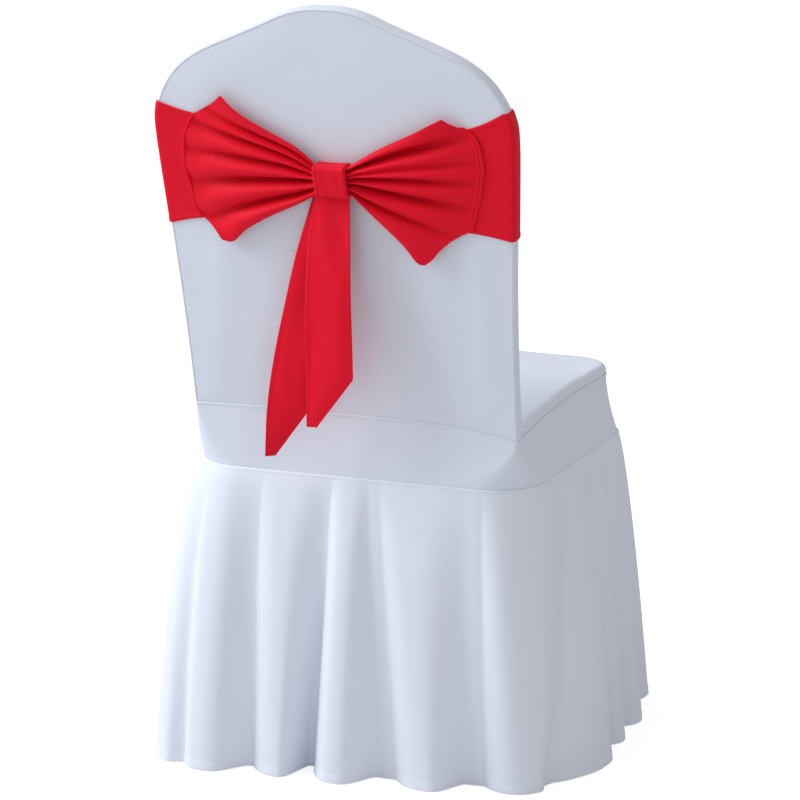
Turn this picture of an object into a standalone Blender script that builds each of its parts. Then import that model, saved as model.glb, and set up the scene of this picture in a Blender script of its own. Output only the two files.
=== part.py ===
"""A fitted stretch cover for a whole chair, with a flared skirt and a sash tied in a bow.

Metres, +Z up. The hem is at z = 0, the sitter faces -Y and the bow faces +Y.
Sizes are in millimetres until a point is placed. On the leaning back, `across` runs along X,
`up` runs up the rear face from its lower seam, and `out` stands off that face to the rear.
Round the seat, `along` is the distance round a seam from the rear middle, first towards -X.
"""

import math
from collections import namedtuple

import bmesh
import bpy
from mathutils import Vector

MM = 0.001
MIDDLE = Vector((-0.5, 16.4, 0.0))  # the middle of the whole cover, from the middle of the seat

# Cloth
CLOTH = 2.0
SASH_CLOTH = 1.5
SEAM_GAP = 0.4
SASH_GAP = 0.6

# Back
LEAN = math.radians(10.3)
REAR_FACE = 201.0
LOWER_SEAM = 440.0
BACK_DEPTH = 19.0
EDGE_ROUND = 3.4
REAR_PUFF = 4.0
FRONT_PUFF = 3.0
SHOULDER_UP = 391.0
SIDE_STEPS = 12
CROWN_STEPS = 20
ROUND_STEPS = 3
GUSSET_END_STEPS = 3  # stations over which the strip turns to follow the seat seam

OutlineRow = namedtuple("OutlineRow", "across up")
BACK_OUTLINE = (
    OutlineRow(203.1, -30.0),
    OutlineRow(203.3, 0.0),
    OutlineRow(204.4, 70.0),
    OutlineRow(207.2, 150.0),
    OutlineRow(211.2, 225.0),
    OutlineRow(215.6, 300.0),
    OutlineRow(217.5, 342.0),
    OutlineRow(216.0, 368.0),
    OutlineRow(206.6, 391.0),
    OutlineRow(193.2, 410.5),
    OutlineRow(174.6, 427.2),
    OutlineRow(150.5, 441.0),
    OutlineRow(112.0, 457.0),
    OutlineRow(80.0, 470.0),
    OutlineRow(47.0, 484.0),
    OutlineRow(22.0, 489.8),
    OutlineRow(0.0, 491.0),
)

# Seat seam: it dips towards the rear corner on the -X side
SeamRow = namedtuple("SeamRow", "place height")
REAR_SEAM = (
    SeamRow(-204.0, 426.5),
    SeamRow(-185.0, 430.5),
    SeamRow(-161.0, 435.3),
    SeamRow(-123.0, 440.0),
    SeamRow(-61.0, 441.9),
    SeamRow(55.0, 443.0),
    SeamRow(112.0, 443.9),
    SeamRow(204.0, 442.0),
)
RIGHT_SEAM = (
    SeamRow(-190.0, 441.0),
    SeamRow(-72.0, 441.5),
    SeamRow(-12.0, 442.5),
    SeamRow(57.0, 439.5),
    SeamRow(119.0, 436.0),
    SeamRow(155.0, 432.0),
    SeamRow(201.0, 426.5),
)
LEFT_SEAM = (
    SeamRow(-190.0, 441.0),
    SeamRow(-12.0, 442.5),
    SeamRow(119.0, 443.0),
    SeamRow(201.0, 442.0),
)

# Seat panel and the band under it
Ring = namedtuple("Ring", "half_width rear front rear_radius front_radius")
SEAT_RING = Ring(206.7, REAR_FACE, -186.0, EDGE_ROUND, 55.0)
SKIRT_RING = Ring(222.0, 202.0, -202.0, 70.0, 70.0)
SKIRT_SEAM = 365.5
BAND_FLARE = 1.7
BAND_ROWS = 4
SEAT_LIP = 2.5
SEAT_ROUND = 9.0
SEAT_DOME = 4.5
REAR_GAP = 1.0
SEAT_INSETS = (0.0, 0.8, 3.0, 7.0, 13.0, 28.0)
SEAT_INNER_COLUMNS = 8
SEAT_INNER_ROWS = 9
SEAT_FLAT = 80.0
SEAT_FLAT_SEAM = 441.0
SEAT_BLEND = 1.3

# Skirt: a ridge and the valley after it, each with its place at the seam and at the hem. `rise` is
# where the cloth starts to climb from the last valley, as a share of the way to the ridge. `hold` is
# how long the ridge's top lasts: 1 falls away at once, 2 stays nearly full for half the way.
Fold = namedtuple("Fold", "ridge_seam ridge_hem ridge_out rise hold valley_seam valley_hem valley_out")
FOLDS = (
    Fold(-216.0, -190.0, 82.0, 0.2, 1.6, -186.0, -178.0, 66.0),
    Fold(-172.0, -166.0, 79.0, 0.1, 1.2, -116.0, -118.0, 39.0),
    Fold(-88.0, -76.0, 64.0, 0.05, 1.7, -26.0, -52.0, 12.0),
    Fold(-4.0, -6.0, 60.0, 0.12, 1.7, 24.0, 40.0, 19.0),
    Fold(60.0, 108.0, 43.0, 0.35, 1.7, 152.0, 148.0, 2.0),
    Fold(188.0, 214.0, 38.0, 0.33, 1.6, 304.0, 230.0, 24.0),
    Fold(372.0, 332.0, 63.0, 0.1, 1.4, 404.0, 370.0, 24.0),
    Fold(436.0, 408.0, 55.0, 0.2, 1.5, 468.0, 448.0, 26.0),
    Fold(506.0, 489.0, 53.0, 0.1, 1.3, 540.0, 532.0, 24.0),
    Fold(584.0, 590.0, 60.0, 0.3, 1.2, 628.0, 640.0, 22.0),
    Fold(676.0, 690.0, 52.0, 0.1, 1.6, 712.0, 722.0, 10.0),
    Fold(756.0, 762.0, 45.0, 0.2, 1.2, 792.0, 798.0, 4.0),
    Fold(838.0, 836.0, 54.0, 0.4, 1.4, 872.0, 872.0, 12.0),
    Fold(908.0, 914.0, 47.0, 0.1, 1.5, 942.0, 944.0, 12.0),
    Fold(986.0, 992.0, 55.0, 0.3, 1.4, 1026.0, 1030.0, 18.0),
    Fold(1066.0, 1072.0, 58.0, 0.1, 1.3, 1100.0, 1106.0, 14.0),
    Fold(1144.0, 1146.0, 50.0, 0.3, 1.2, 1182.0, 1186.0, 20.0),
    Fold(1222.0, 1230.0, 58.0, 0.2, 1.6, 1256.0, 1268.0, 22.0),
    Fold(1300.0, 1312.0, 62.0, 0.1, 1.4, 1332.0, 1348.0, 40.0),
)
FOLD_COLUMNS = 8
SKIRT_ROWS = 7
FLARE_CURVE = 0.6
FOLD_CURVE = 0.85
FOLD_FOOT = 2.4

# Sash band: its edges on the back, from the side to the raised seams under the bow
SASH_TOP = 379.0
SASH_BOTTOM = 233.0
SASH_TOP_AT_BOW = 367.0
SASH_BOTTOM_AT_BOW = 243.0
BOW_SEAM_END = 158.0
BOW_SEAM_BULGE = 17.0
BOW_SEAM_CURVE = 0.8
SASH_REAR_STEPS = 4
SASH_CORNER_STEPS = 4
SASH_FRONT_STEPS = 5
SASH_LEVELS = (0.0, 0.25, 0.5, 0.7, 0.82, 0.91, 1.0)

# Bow
EdgeRow = namedtuple("EdgeRow", "across up out")
LEFT_WING_TOP = (
    EdgeRow(127.0, 393.0, 15.0),
    EdgeRow(99.0, 370.0, 17.0),
    EdgeRow(69.0, 355.0, 18.0),
    EdgeRow(38.0, 338.0, 18.0),
    EdgeRow(17.0, 320.5, 18.5),
    EdgeRow(10.0, 315.0, 18.5),
    EdgeRow(-3.5, 313.5, 18.5),
)
LEFT_WING_BOTTOM = (
    EdgeRow(139.0, 216.5, 14.0),
    EdgeRow(126.0, 217.5, 15.0),
    EdgeRow(96.0, 240.0, 17.0),
    EdgeRow(62.0, 258.0, 18.0),
    EdgeRow(36.0, 271.0, 18.0),
    EdgeRow(18.0, 280.0, 18.5),
    EdgeRow(10.0, 284.5, 18.5),
    EdgeRow(-3.5, 285.5, 18.5),
)
LEFT_WING_SIDE = (
    EdgeRow(139.0, 216.5, 14.0),
    EdgeRow(147.0, 230.0, 10.0),
    EdgeRow(162.0, 245.0, 7.0),
    EdgeRow(177.5, 272.0, 6.6),
    EdgeRow(185.5, 305.0, 6.6),
    EdgeRow(182.5, 338.0, 6.6),
    EdgeRow(167.0, 367.0, 7.0),
    EdgeRow(145.0, 380.0, 11.0),
    EdgeRow(127.0, 393.0, 15.0),
)
RIGHT_WING_TOP = (
    EdgeRow(-143.0, 377.0, 16.0),
    EdgeRow(-118.0, 362.0, 18.0),
    EdgeRow(-86.0, 346.0, 19.0),
    EdgeRow(-54.0, 331.0, 18.0),
    EdgeRow(-31.0, 318.5, 18.5),
    EdgeRow(-24.0, 315.0, 18.5),
    EdgeRow(-10.5, 313.5, 18.5),
)
RIGHT_WING_BOTTOM = (
    EdgeRow(-110.0, 205.0, 16.0),
    EdgeRow(-94.0, 221.0, 18.0),
    EdgeRow(-74.0, 241.0, 19.0),
    EdgeRow(-50.0, 264.0, 18.0),
    EdgeRow(-32.0, 280.5, 18.5),
    EdgeRow(-26.5, 284.0, 18.5),
    EdgeRow(-10.5, 285.5, 18.5),
)
RIGHT_WING_SIDE = (
    EdgeRow(-110.0, 205.0, 16.0),
    EdgeRow(-132.0, 224.0, 11.0),
    EdgeRow(-161.0, 244.0, 7.0),
    EdgeRow(-174.5, 272.0, 6.6),
    EdgeRow(-181.5, 305.0, 6.6),
    EdgeRow(-179.0, 338.0, 6.6),
    EdgeRow(-165.0, 367.0, 7.0),
    EdgeRow(-155.0, 373.0, 11.0),
    EdgeRow(-143.0, 377.0, 16.0),
)
PleatRow = namedtuple("PleatRow", "place height")
LEFT_PLEATS = (
    PleatRow(0.0, 0.0),
    PleatRow(0.07, 0.9),
    PleatRow(0.17, -0.9),
    PleatRow(0.28, 0.8),
    PleatRow(0.38, -1.0),
    PleatRow(0.49, 1.0),
    PleatRow(0.6, -0.9),
    PleatRow(0.7, 0.9),
    PleatRow(0.8, -0.8),
    PleatRow(0.91, 1.0),
    PleatRow(1.0, -0.2),
)
RIGHT_PLEATS = (
    PleatRow(0.0, -0.1),
    PleatRow(0.1, 1.0),
    PleatRow(0.22, -0.9),
    PleatRow(0.34, 0.9),
    PleatRow(0.44, -0.8),
    PleatRow(0.55, 0.8),
    PleatRow(0.66, -1.0),
    PleatRow(0.77, 0.9),
    PleatRow(0.88, -0.9),
    PleatRow(1.0, 0.6),
)
PLEAT_DEPTH = 4.0
WING_BILLOW = 5.0
GATHER_REACH = 1.8
GATHER_CURVE = 1.2
WING_COLUMNS = 10
WING_ROWS = 26
WING_CLOTH = 2.0

# Knot and tails
KNOT_ACROSS = -7.0
KNOT_UP = 299.5
KNOT_OUT = 17.8
KNOT_LENGTH = 41.0
KNOT_TALL = 39.0
KNOT_DEEP = 26.0
KNOT_ROUND = 6.0
KNOT_CORNER_STEPS = 3
KNOT_SIDE_STEPS = 2
KNOT_ROWS = 4
KNOT_WAIST = 1.2
TailRow = namedtuple("TailRow", "drop left right out")
FRONT_TAIL = (
    TailRow(0.0, 18.0, -26.0, 0.0),
    TailRow(52.0, 26.0, -27.0, 1.0),
    TailRow(112.0, 29.0, -28.0, 2.5),
    TailRow(167.0, 30.0, -29.5, 3.0),
    TailRow(212.0, 30.0, -30.0, 2.0),
)
FRONT_TAIL_POINT = TailRow(273.0, 30.0, 17.0, 0.0)
FRONT_TAIL_OUT = 17.5
BACK_TAIL = (
    TailRow(0.0, 22.0, -22.0, 0.0),
    TailRow(62.0, 40.5, -12.0, 1.0),
    TailRow(122.0, 55.0, -2.0, 1.5),
    TailRow(192.0, 71.5, 12.0, 1.0),
    TailRow(255.0, 82.0, 30.0, 0.0),
)
BACK_TAIL_POINT = TailRow(316.0, 86.0, 76.0, -2.0)
BACK_TAIL_OUT = 10.5
TAIL_COLUMNS = 6
TAIL_ROWS = 9
TAIL_CUP = 3.0
TAIL_CUP_REACH = 3.0
TAIL_CUP_FADE = 3

WHITE = (0.80, 0.83, 0.90)
RED = (0.72, 0.01, 0.03)
ROUGHNESS = 0.75
CREASE_ANGLE = math.radians(50)
CURVE_STEPS = 6


def clear_scene():
    for item in list(bpy.data.objects):
        bpy.data.objects.remove(item, do_unlink=True)


def mix(start, end, share):
    return start + (end - start) * share


def read_line(rows, place):
    """Reads the second column of a table at a place in the first, in straight runs between rows."""
    for low, high in zip(rows, rows[1:]):
        if place <= high[0]:
            break
    share = (place - low[0]) / (high[0] - low[0])
    return mix(low[1], high[1], min(max(share, 0.0), 1.0))


def smooth_curve(rows):
    """A list of points on a round curve through the rows."""
    points = [Vector(row).to_3d() if len(row) == 2 else Vector(row) for row in rows]
    ends = [points[0] * 2 - points[1]] + points + [points[-1] * 2 - points[-2]]
    curve = []
    for before, start, end, after in zip(ends, ends[1:], ends[2:], ends[3:]):
        for step in range(CURVE_STEPS):
            share = step / CURVE_STEPS
            line = start * 2 + (end - before) * share
            line += (before * 2 - start * 5 + end * 4 - after) * share**2
            line += (start * 3 - before - end * 3 + after) * share**3
            curve.append(line / 2)
    curve.append(points[-1])
    return curve


def point_at(curve, share):
    """The point at a share of a curve's length."""
    lengths = [0.0]
    for start, end in zip(curve, curve[1:]):
        lengths.append(lengths[-1] + (end - start).length)
    wanted = share * lengths[-1]
    for index in range(len(curve) - 1):
        if wanted <= lengths[index + 1]:
            break
    span = lengths[index + 1] - lengths[index]
    return curve[index].lerp(curve[index + 1], min((wanted - lengths[index]) / span, 1.0))


def new_object(name, mesh, colour):
    """Turns a bmesh in millimetres, measured from the seat's middle, into a named object."""
    bmesh.ops.recalc_face_normals(mesh, faces=mesh.faces)
    for vert in mesh.verts:
        vert.co = (vert.co - MIDDLE) * MM
    for face in mesh.faces:
        face.smooth = True
    data = bpy.data.meshes.new(name)
    mesh.to_mesh(data)
    mesh.free()
    data.set_sharp_from_angle(angle=CREASE_ANGLE)
    item = bpy.data.objects.new(name, data)
    bpy.context.scene.collection.objects.link(item)
    material = bpy.data.materials.new(name)
    material.use_nodes = True
    shader = material.node_tree.nodes["Principled BSDF"]
    shader.inputs["Base Color"].default_value = (*colour, 1.0)
    shader.inputs["Roughness"].default_value = ROUGHNESS
    shader.inputs["Metallic"].default_value = 0.0
    data.materials.append(material)
    return item


def new_sheet(columns, rows, place):
    """A grid of cloth: place(column, row) gives each point, and the face side follows from the order."""
    mesh = bmesh.new()
    in_column = mesh.verts.layers.int.new("column")
    in_row = mesh.verts.layers.int.new("row")
    bmesh.ops.create_grid(mesh, x_segments=columns, y_segments=rows, size=0.5)
    for vert in mesh.verts:
        vert[in_column] = round((vert.co.x + 0.5) * columns)
        vert[in_row] = round((vert.co.y + 0.5) * rows)
        vert.co = place(vert[in_column], vert[in_row])
    return mesh


def close_round(mesh):
    """Joins the first column of a sheet that runs all the way round to its last one."""
    bmesh.ops.remove_doubles(mesh, verts=mesh.verts, dist=0.01)


def thicken(mesh, thickness, way=None, level=False):
    """Gives a sheet its thickness, away from its face side or from way(column, row), and closes it."""
    mesh.normal_update()
    in_column = mesh.verts.layers.int["column"]
    in_row = mesh.verts.layers.int["row"]
    shift = mesh.verts.layers.float_vector.new("shift")
    for vert in mesh.verts:
        normal = way(vert[in_column], vert[in_row]) if way else vert.normal.copy()
        if level:
            normal.z = 0.0
        vert[shift] = -thickness * normal.normalized()
    grown = bmesh.ops.extrude_face_region(mesh, geom=mesh.faces[:])
    for item in grown["geom"]:
        if isinstance(item, bmesh.types.BMVert):
            item.co += item[shift]


# Back


def on_back(across, up, out):
    return Vector(
        (
            across,
            REAR_FACE + up * math.sin(LEAN) + out * math.cos(LEAN),
            LOWER_SEAM + up * math.cos(LEAN) - out * math.sin(LEAN),
        )
    )


def to_rear(column=0, row=0):
    """The way straight out from the back's rear face, the same at every column and row."""
    return on_back(0.0, 0.0, 1.0) - on_back(0.0, 0.0, 0.0)


HALF_OUTLINE = smooth_curve(BACK_OUTLINE)
SIDE_LINE = [(point.y, point.x) for point in HALF_OUTLINE]
CROWN_LINE = [(point.x, point.y) for point in reversed(HALF_OUTLINE) if point.y > SHOULDER_UP - 20]


def half_width(up):
    return read_line(SIDE_LINE, up)


def puff(across, up, amount):
    """How far a panel of the back stands out in its middle; nothing at its seams."""
    wide = max(half_width(up), 1.0)
    tall = min(max(up / BACK_OUTLINE[-1].up, 0.0), 1.0)
    return amount * max(0.0, 1 - (across / wide) ** 2) * math.sin(math.pi * tall)


def seam_height(x, y):
    """Height of the seat seam on the side that a point is nearest to."""
    return read_line(RIGHT_SEAM if x < 0 else LEFT_SEAM, y)


def up_at_height(height, out):
    return (height - LOWER_SEAM + out * math.sin(LEAN)) / math.cos(LEAN)


def corner_up(side, out):
    """Where the back's edge meets the seat seam, on the +X side (1) or the -X side (-1)."""
    y = REAR_FACE + out * math.cos(LEAN)
    return up_at_height(seam_height(side, y) + SEAM_GAP, out)


def outline_stations():
    """The back's seam line from its lower +X corner, over the crown, to its lower -X corner."""
    left = []
    right = []
    for step in range(SIDE_STEPS):
        share = step / SIDE_STEPS
        up = mix(corner_up(1, 0.0), SHOULDER_UP, share)
        left.append((half_width(up), up))
        up = mix(corner_up(-1, 0.0), SHOULDER_UP, share)
        right.append((-half_width(up), up))
    shoulder = half_width(SHOULDER_UP)
    crown = []
    for step in range(CROWN_STEPS + 1):
        across = shoulder * math.cos(math.pi * step / CROWN_STEPS)
        crown.append((across, read_line(CROWN_LINE, abs(across))))
    return left + crown + right[::-1]


def seam_up(across):
    """The rear panel's lower edge."""
    return up_at_height(read_line(REAR_SEAM, across) + SEAM_GAP, 0.0)


def panel_point(stations, column, row, bottom):
    """A point of a back panel, blended from its four edges."""
    side = column / CROWN_STEPS
    tall = row / SIDE_STEPS
    left = Vector(stations[row])
    right = Vector(stations[-1 - row])
    top = Vector(stations[SIDE_STEPS + column])
    across = mix(stations[0][0], stations[-1][0], side)
    low = Vector((across, bottom(across)))
    high_left = Vector(stations[SIDE_STEPS])
    high_right = Vector(stations[SIDE_STEPS + CROWN_STEPS])
    low_left = Vector((stations[0][0], bottom(stations[0][0])))
    low_right = Vector((stations[-1][0], bottom(stations[-1][0])))
    if row == 0:
        left, right = low_left, low_right
    sides = mix(left, right, side)
    ends = mix(low, top, tall)
    corners = mix(mix(low_left, low_right, side), mix(high_left, high_right, side), tall)
    return sides + ends - corners


def make_rear_panel(stations):
    def place(column, row):
        spot = panel_point(stations, column, row, seam_up)
        return on_back(spot.x, spot.y, puff(spot.x, spot.y, REAR_PUFF))

    mesh = new_sheet(CROWN_STEPS, SIDE_STEPS, place)
    thicken(mesh, CLOTH, way=to_rear)
    new_object("back_rear_panel", mesh, WHITE)


def make_front_panel(stations):
    left_up = corner_up(1, -BACK_DEPTH)
    right_up = corner_up(-1, -BACK_DEPTH)

    def bottom(across):
        return mix(right_up, left_up, (across / half_width(0.0) + 1) / 2)

    def place(column, row):
        spot = panel_point(stations, CROWN_STEPS - column, row, bottom)
        return on_back(spot.x, spot.y, -BACK_DEPTH - puff(spot.x, spot.y, FRONT_PUFF))

    mesh = new_sheet(CROWN_STEPS, SIDE_STEPS, place)
    thicken(mesh, CLOTH, way=lambda column, row: -to_rear(column, row))
    new_object("back_front_panel", mesh, WHITE)


def gusset_section():
    """The strip across its width, rear to front: (beyond the seam line, out, turn from the rear way)."""
    rear_half = []
    for step in range(ROUND_STEPS + 1):
        turn = math.radians(90) * step / ROUND_STEPS
        beyond = SEAM_GAP + EDGE_ROUND * math.sin(turn)
        rear_half.append((beyond, EDGE_ROUND * (math.cos(turn) - 1), turn))
    front_half = [(beyond, -BACK_DEPTH - out, math.pi - turn) for beyond, out, turn in rear_half]
    return rear_half + front_half[::-1]


def outline_normals(stations):
    normals = []
    for index in range(len(stations)):
        before = Vector(stations[max(index - 1, 0)])
        after = Vector(stations[min(index + 1, len(stations) - 1)])
        along = (after - before).normalized()
        normals.append(Vector((-along.y, along.x)) * -1)
    normals[0] = Vector((1.0, 0.0))
    normals[-1] = Vector((-1.0, 0.0))
    return normals


def make_gusset(stations):
    section = gusset_section()
    normals = outline_normals(stations)
    last = len(stations) - 1

    def way(column, row):
        turn = section[row][2]
        aside = on_back(normals[column].x, normals[column].y, 0.0) - on_back(0.0, 0.0, 0.0)
        return to_rear() * math.cos(turn) + aside * math.sin(turn)

    def place(column, row):
        beyond, out, _ = section[row]
        spot = Vector(stations[column]) + normals[column] * beyond
        from_end = min(column, last - column)
        side = 1 if column < last / 2 else -1
        drop = corner_up(side, out) - corner_up(side, 0.0)
        return on_back(spot.x, spot.y + drop * max(0.0, 1 - from_end / GUSSET_END_STEPS), out)

    mesh = new_sheet(last, len(section) - 1, place)
    thicken(mesh, CLOTH, way=way)
    new_object("back_gusset", mesh, WHITE)


# Seat


def ring_point(ring, section, share):
    """A point of a rounded rectangle in plan, and the way out from it.

    Section 0 is the half rear run, then corners and runs take turns, and 8 is the other half.
    """
    corners = (
        (-1, ring.rear - ring.rear_radius, ring.rear_radius),
        (-1, ring.front + ring.front_radius, ring.front_radius),
        (1, ring.front + ring.front_radius, ring.front_radius),
        (1, ring.rear - ring.rear_radius, ring.rear_radius),
    )

    def on_corner(index, turned):
        side, y, radius = corners[index % 4]
        angle = math.radians(90 * (index % 4 + 1 + turned))
        way = Vector((math.cos(angle), math.sin(angle)))
        return Vector((side * (ring.half_width - radius), y)) + way * radius, way

    if section % 2:
        return on_corner(section // 2, share)
    rear_middle = Vector((0.0, ring.rear))
    start = rear_middle if section == 0 else on_corner(section // 2 - 1, 1.0)[0]
    end = rear_middle if section == 8 else on_corner(section // 2, 0.0)[0]
    way = on_corner(section // 2 - 1, 1.0)[1] if section else on_corner(0, 0.0)[1]
    return start.lerp(end, share), way


def ring_lengths(ring):
    half_rear = ring.half_width - ring.rear_radius
    side = ring.rear - ring.front - ring.rear_radius - ring.front_radius
    rear_turn = math.radians(90) * ring.rear_radius
    front_turn = math.radians(90) * ring.front_radius
    front = 2 * (ring.half_width - ring.front_radius)
    return (half_rear, rear_turn, side, front_turn, front, front_turn, side, rear_turn, half_rear)


def ring_along(ring, along):
    """The point of a ring at a distance round it from the rear middle."""
    lengths = ring_lengths(ring)
    left = along % sum(lengths)
    for section, length in enumerate(lengths):
        if left <= length:
            break
        left -= length
    return ring_point(ring, section, min(left / length, 1.0))


BAND_SECTION_STEPS = (8, 4, 7, 5, 8, 5, 7, 4, 8)
BAND_STATIONS = [
    (section, step / steps) for section, steps in enumerate(BAND_SECTION_STEPS) for step in range(steps)
] + [(8, 1.0)]


def band_top_height(spot):
    if spot.y > SEAT_RING.rear - 0.5:
        return read_line(REAR_SEAM, spot.x)
    return seam_height(spot.x, spot.y)


def band_point(section, share, tall):
    """The seat band's face: tall is 0 at the skirt seam and 1 at the seat seam."""
    top, _ = ring_point(SEAT_RING, section, share)
    low, _ = ring_point(SKIRT_RING, section, share)
    spot = top.lerp(low, (1 - tall) ** BAND_FLARE)
    height = mix(SKIRT_SEAM + SEAM_GAP, band_top_height(top), tall)
    return Vector((spot.x, spot.y, height))


def make_seat_band():
    def place(column, row):
        section, share = BAND_STATIONS[column]
        return band_point(section, share, row / BAND_ROWS)

    mesh = new_sheet(len(BAND_STATIONS) - 1, BAND_ROWS, place)
    close_round(mesh)
    thicken(mesh, CLOTH, level=True)
    new_object("seat_band", mesh, WHITE)


def inside_seat(x, y):
    """How far a point lies inside the seat's outline, measured to its sides and its front."""
    radius = SEAT_RING.front_radius
    beyond_x = abs(x) - (SEAT_RING.half_width - radius)
    beyond_y = (SEAT_RING.front + radius) - y
    if beyond_x > 0 and beyond_y > 0:
        return radius - math.hypot(beyond_x, beyond_y)
    return radius - max(beyond_x, beyond_y)


def seat_half_width(y):
    radius = SEAT_RING.front_radius
    beyond = max(SEAT_RING.front + radius - y, 0.0)
    return SEAT_RING.half_width - radius + math.sqrt(max(radius**2 - beyond**2, 0.0))


def seat_top(x, y):
    """Height of the seat panel: a rounded edge, a soft dome and a flat middle."""
    inset = max(inside_seat(x, y), 0.0)
    turned = min(inset / SEAT_ROUND, 1.0)
    rise = SEAT_ROUND * math.sqrt(1 - (1 - turned) ** 2)
    seam = mix(read_line(RIGHT_SEAM, y), read_line(LEFT_SEAM, y), (x / SEAT_RING.half_width + 1) / 2)
    reach = max(math.hypot(x, y) - SEAT_FLAT, 0.0) / (SEAT_RING.half_width - SEAT_FLAT)
    dome = SEAT_DOME * max(0.0, 1 - reach**2)
    seam = mix(SEAT_FLAT_SEAM, seam, min(reach * SEAT_BLEND, 1.0))
    return seam + SEAM_GAP + SEAT_LIP + rise + dome


def seat_rows():
    """Places of the seat panel's rows, front to rear."""
    front = [SEAT_RING.front + inset for inset in SEAT_INSETS]
    rear = REAR_FACE - BACK_DEPTH * math.cos(LEAN) - 2 * SEAM_GAP
    start = front[-1]
    inner = [mix(start, rear, step / SEAT_INNER_ROWS) for step in range(1, SEAT_INNER_ROWS + 1)]
    return front + inner


def seat_across(y):
    """Places of the seat panel's columns at a row, from +X to -X."""
    edge = seat_half_width(y)
    left = [edge - inset for inset in SEAT_INSETS]
    inner = [
        mix(left[-1], -left[-1], step / SEAT_INNER_COLUMNS) for step in range(1, SEAT_INNER_COLUMNS)
    ]
    return left + inner + [-place for place in reversed(left)]


def make_seat_panel():
    rows = seat_rows()
    columns = [seat_across(y) for y in rows]
    last_row = len(rows) - 1
    last_column = len(columns[0]) - 1

    def place(column, row):
        x = columns[row][last_column - column]
        y = rows[row]
        height = seat_top(x, y)
        if row == last_row:
            up = up_at_height(height - CLOTH, -BACK_DEPTH)
            y = on_back(x, up, -BACK_DEPTH - puff(x, up, FRONT_PUFF)).y - REAR_GAP
        return Vector((x, y, height))

    mesh = new_sheet(last_column, last_row, place)
    in_row = mesh.verts.layers.int["row"]
    hanging = []
    for edge in mesh.edges:
        at_rear = all(vert[in_row] == last_row for vert in edge.verts)
        if edge.is_boundary and not at_rear:
            hanging.append(edge)
    lip = bmesh.ops.extrude_edge_only(mesh, edges=hanging)
    for item in lip["geom"]:
        if isinstance(item, bmesh.types.BMVert):
            item.co.z = seam_height(item.co.x, item.co.y) + SEAM_GAP
    thicken(mesh, CLOTH)
    new_object("seat_panel", mesh, WHITE)


# Skirt


def fold_lines():
    """Ridges and valleys in turn, once round and one more: (place at the seam, at the hem, out, shape)."""
    lines = []
    for fold, after in zip(FOLDS, FOLDS[1:] + FOLDS[:1]):
        lines.append((fold.ridge_seam, fold.ridge_hem, fold.ridge_out, fold.hold))
        lines.append((fold.valley_seam, fold.valley_hem, fold.valley_out, after.rise))
    once_round = sum(ring_lengths(SKIRT_RING))
    first = lines[0]
    lines.append((first[0] + once_round, first[1] + once_round, first[2], first[3]))
    return lines


FOLD_LINES = fold_lines()


def common_flare(index):
    """How far out the skirt stands round one ridge or valley, without the fold itself."""
    count = len(FOLD_LINES) - 1
    outs = [FOLD_LINES[(index + step) % count][2] for step in (-1, 0, 0, 1)]
    return sum(outs) / len(outs)


def fold_share(index, share):
    """How far the cloth has come from one fold line's depth to the next one's."""
    shape = FOLD_LINES[index][3]
    if index % 2:
        climb = max(share - shape, 0.0) / (1 - shape)
        return 1 - (1 - climb) ** FOLD_FOOT
    return (1 - math.cos(math.pi * share**shape)) / 2


def skirt_point(fold_place, fall):
    """A point of the skirt: fold_place counts half folds round, fall is 0 at the seam and 1 at the hem."""
    index = min(int(fold_place), len(FOLD_LINES) - 2)
    share = fold_place - index
    start = FOLD_LINES[index]
    end = FOLD_LINES[index + 1]
    along = mix(mix(start[0], end[0], share), mix(start[1], end[1], share), fall)
    flare = mix(common_flare(index), common_flare(index + 1), share)
    hem_out = mix(start[2], end[2], fold_share(index, share))
    out = flare * fall**FLARE_CURVE + (hem_out - flare) * fall**FOLD_CURVE
    spot, way = ring_along(SKIRT_RING, along)
    spot += way * out
    return Vector((spot.x, spot.y, mix(SKIRT_SEAM, 0.0, fall)))


def make_skirt():
    half_columns = FOLD_COLUMNS // 2
    columns = half_columns * (len(FOLD_LINES) - 1)

    def place(column, row):
        return skirt_point(column / half_columns, 1 - row / SKIRT_ROWS)

    mesh = new_sheet(columns, SKIRT_ROWS, place)
    close_round(mesh)
    thicken(mesh, CLOTH, level=True)
    new_object("skirt", mesh, WHITE)


# Sash


def bow_seam_across(tall):
    """Where the sash ends under a wing: a shallow bow outwards from its lower to its upper end."""
    return BOW_SEAM_END + BOW_SEAM_BULGE * math.sin(math.pi * tall) ** BOW_SEAM_CURVE


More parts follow.
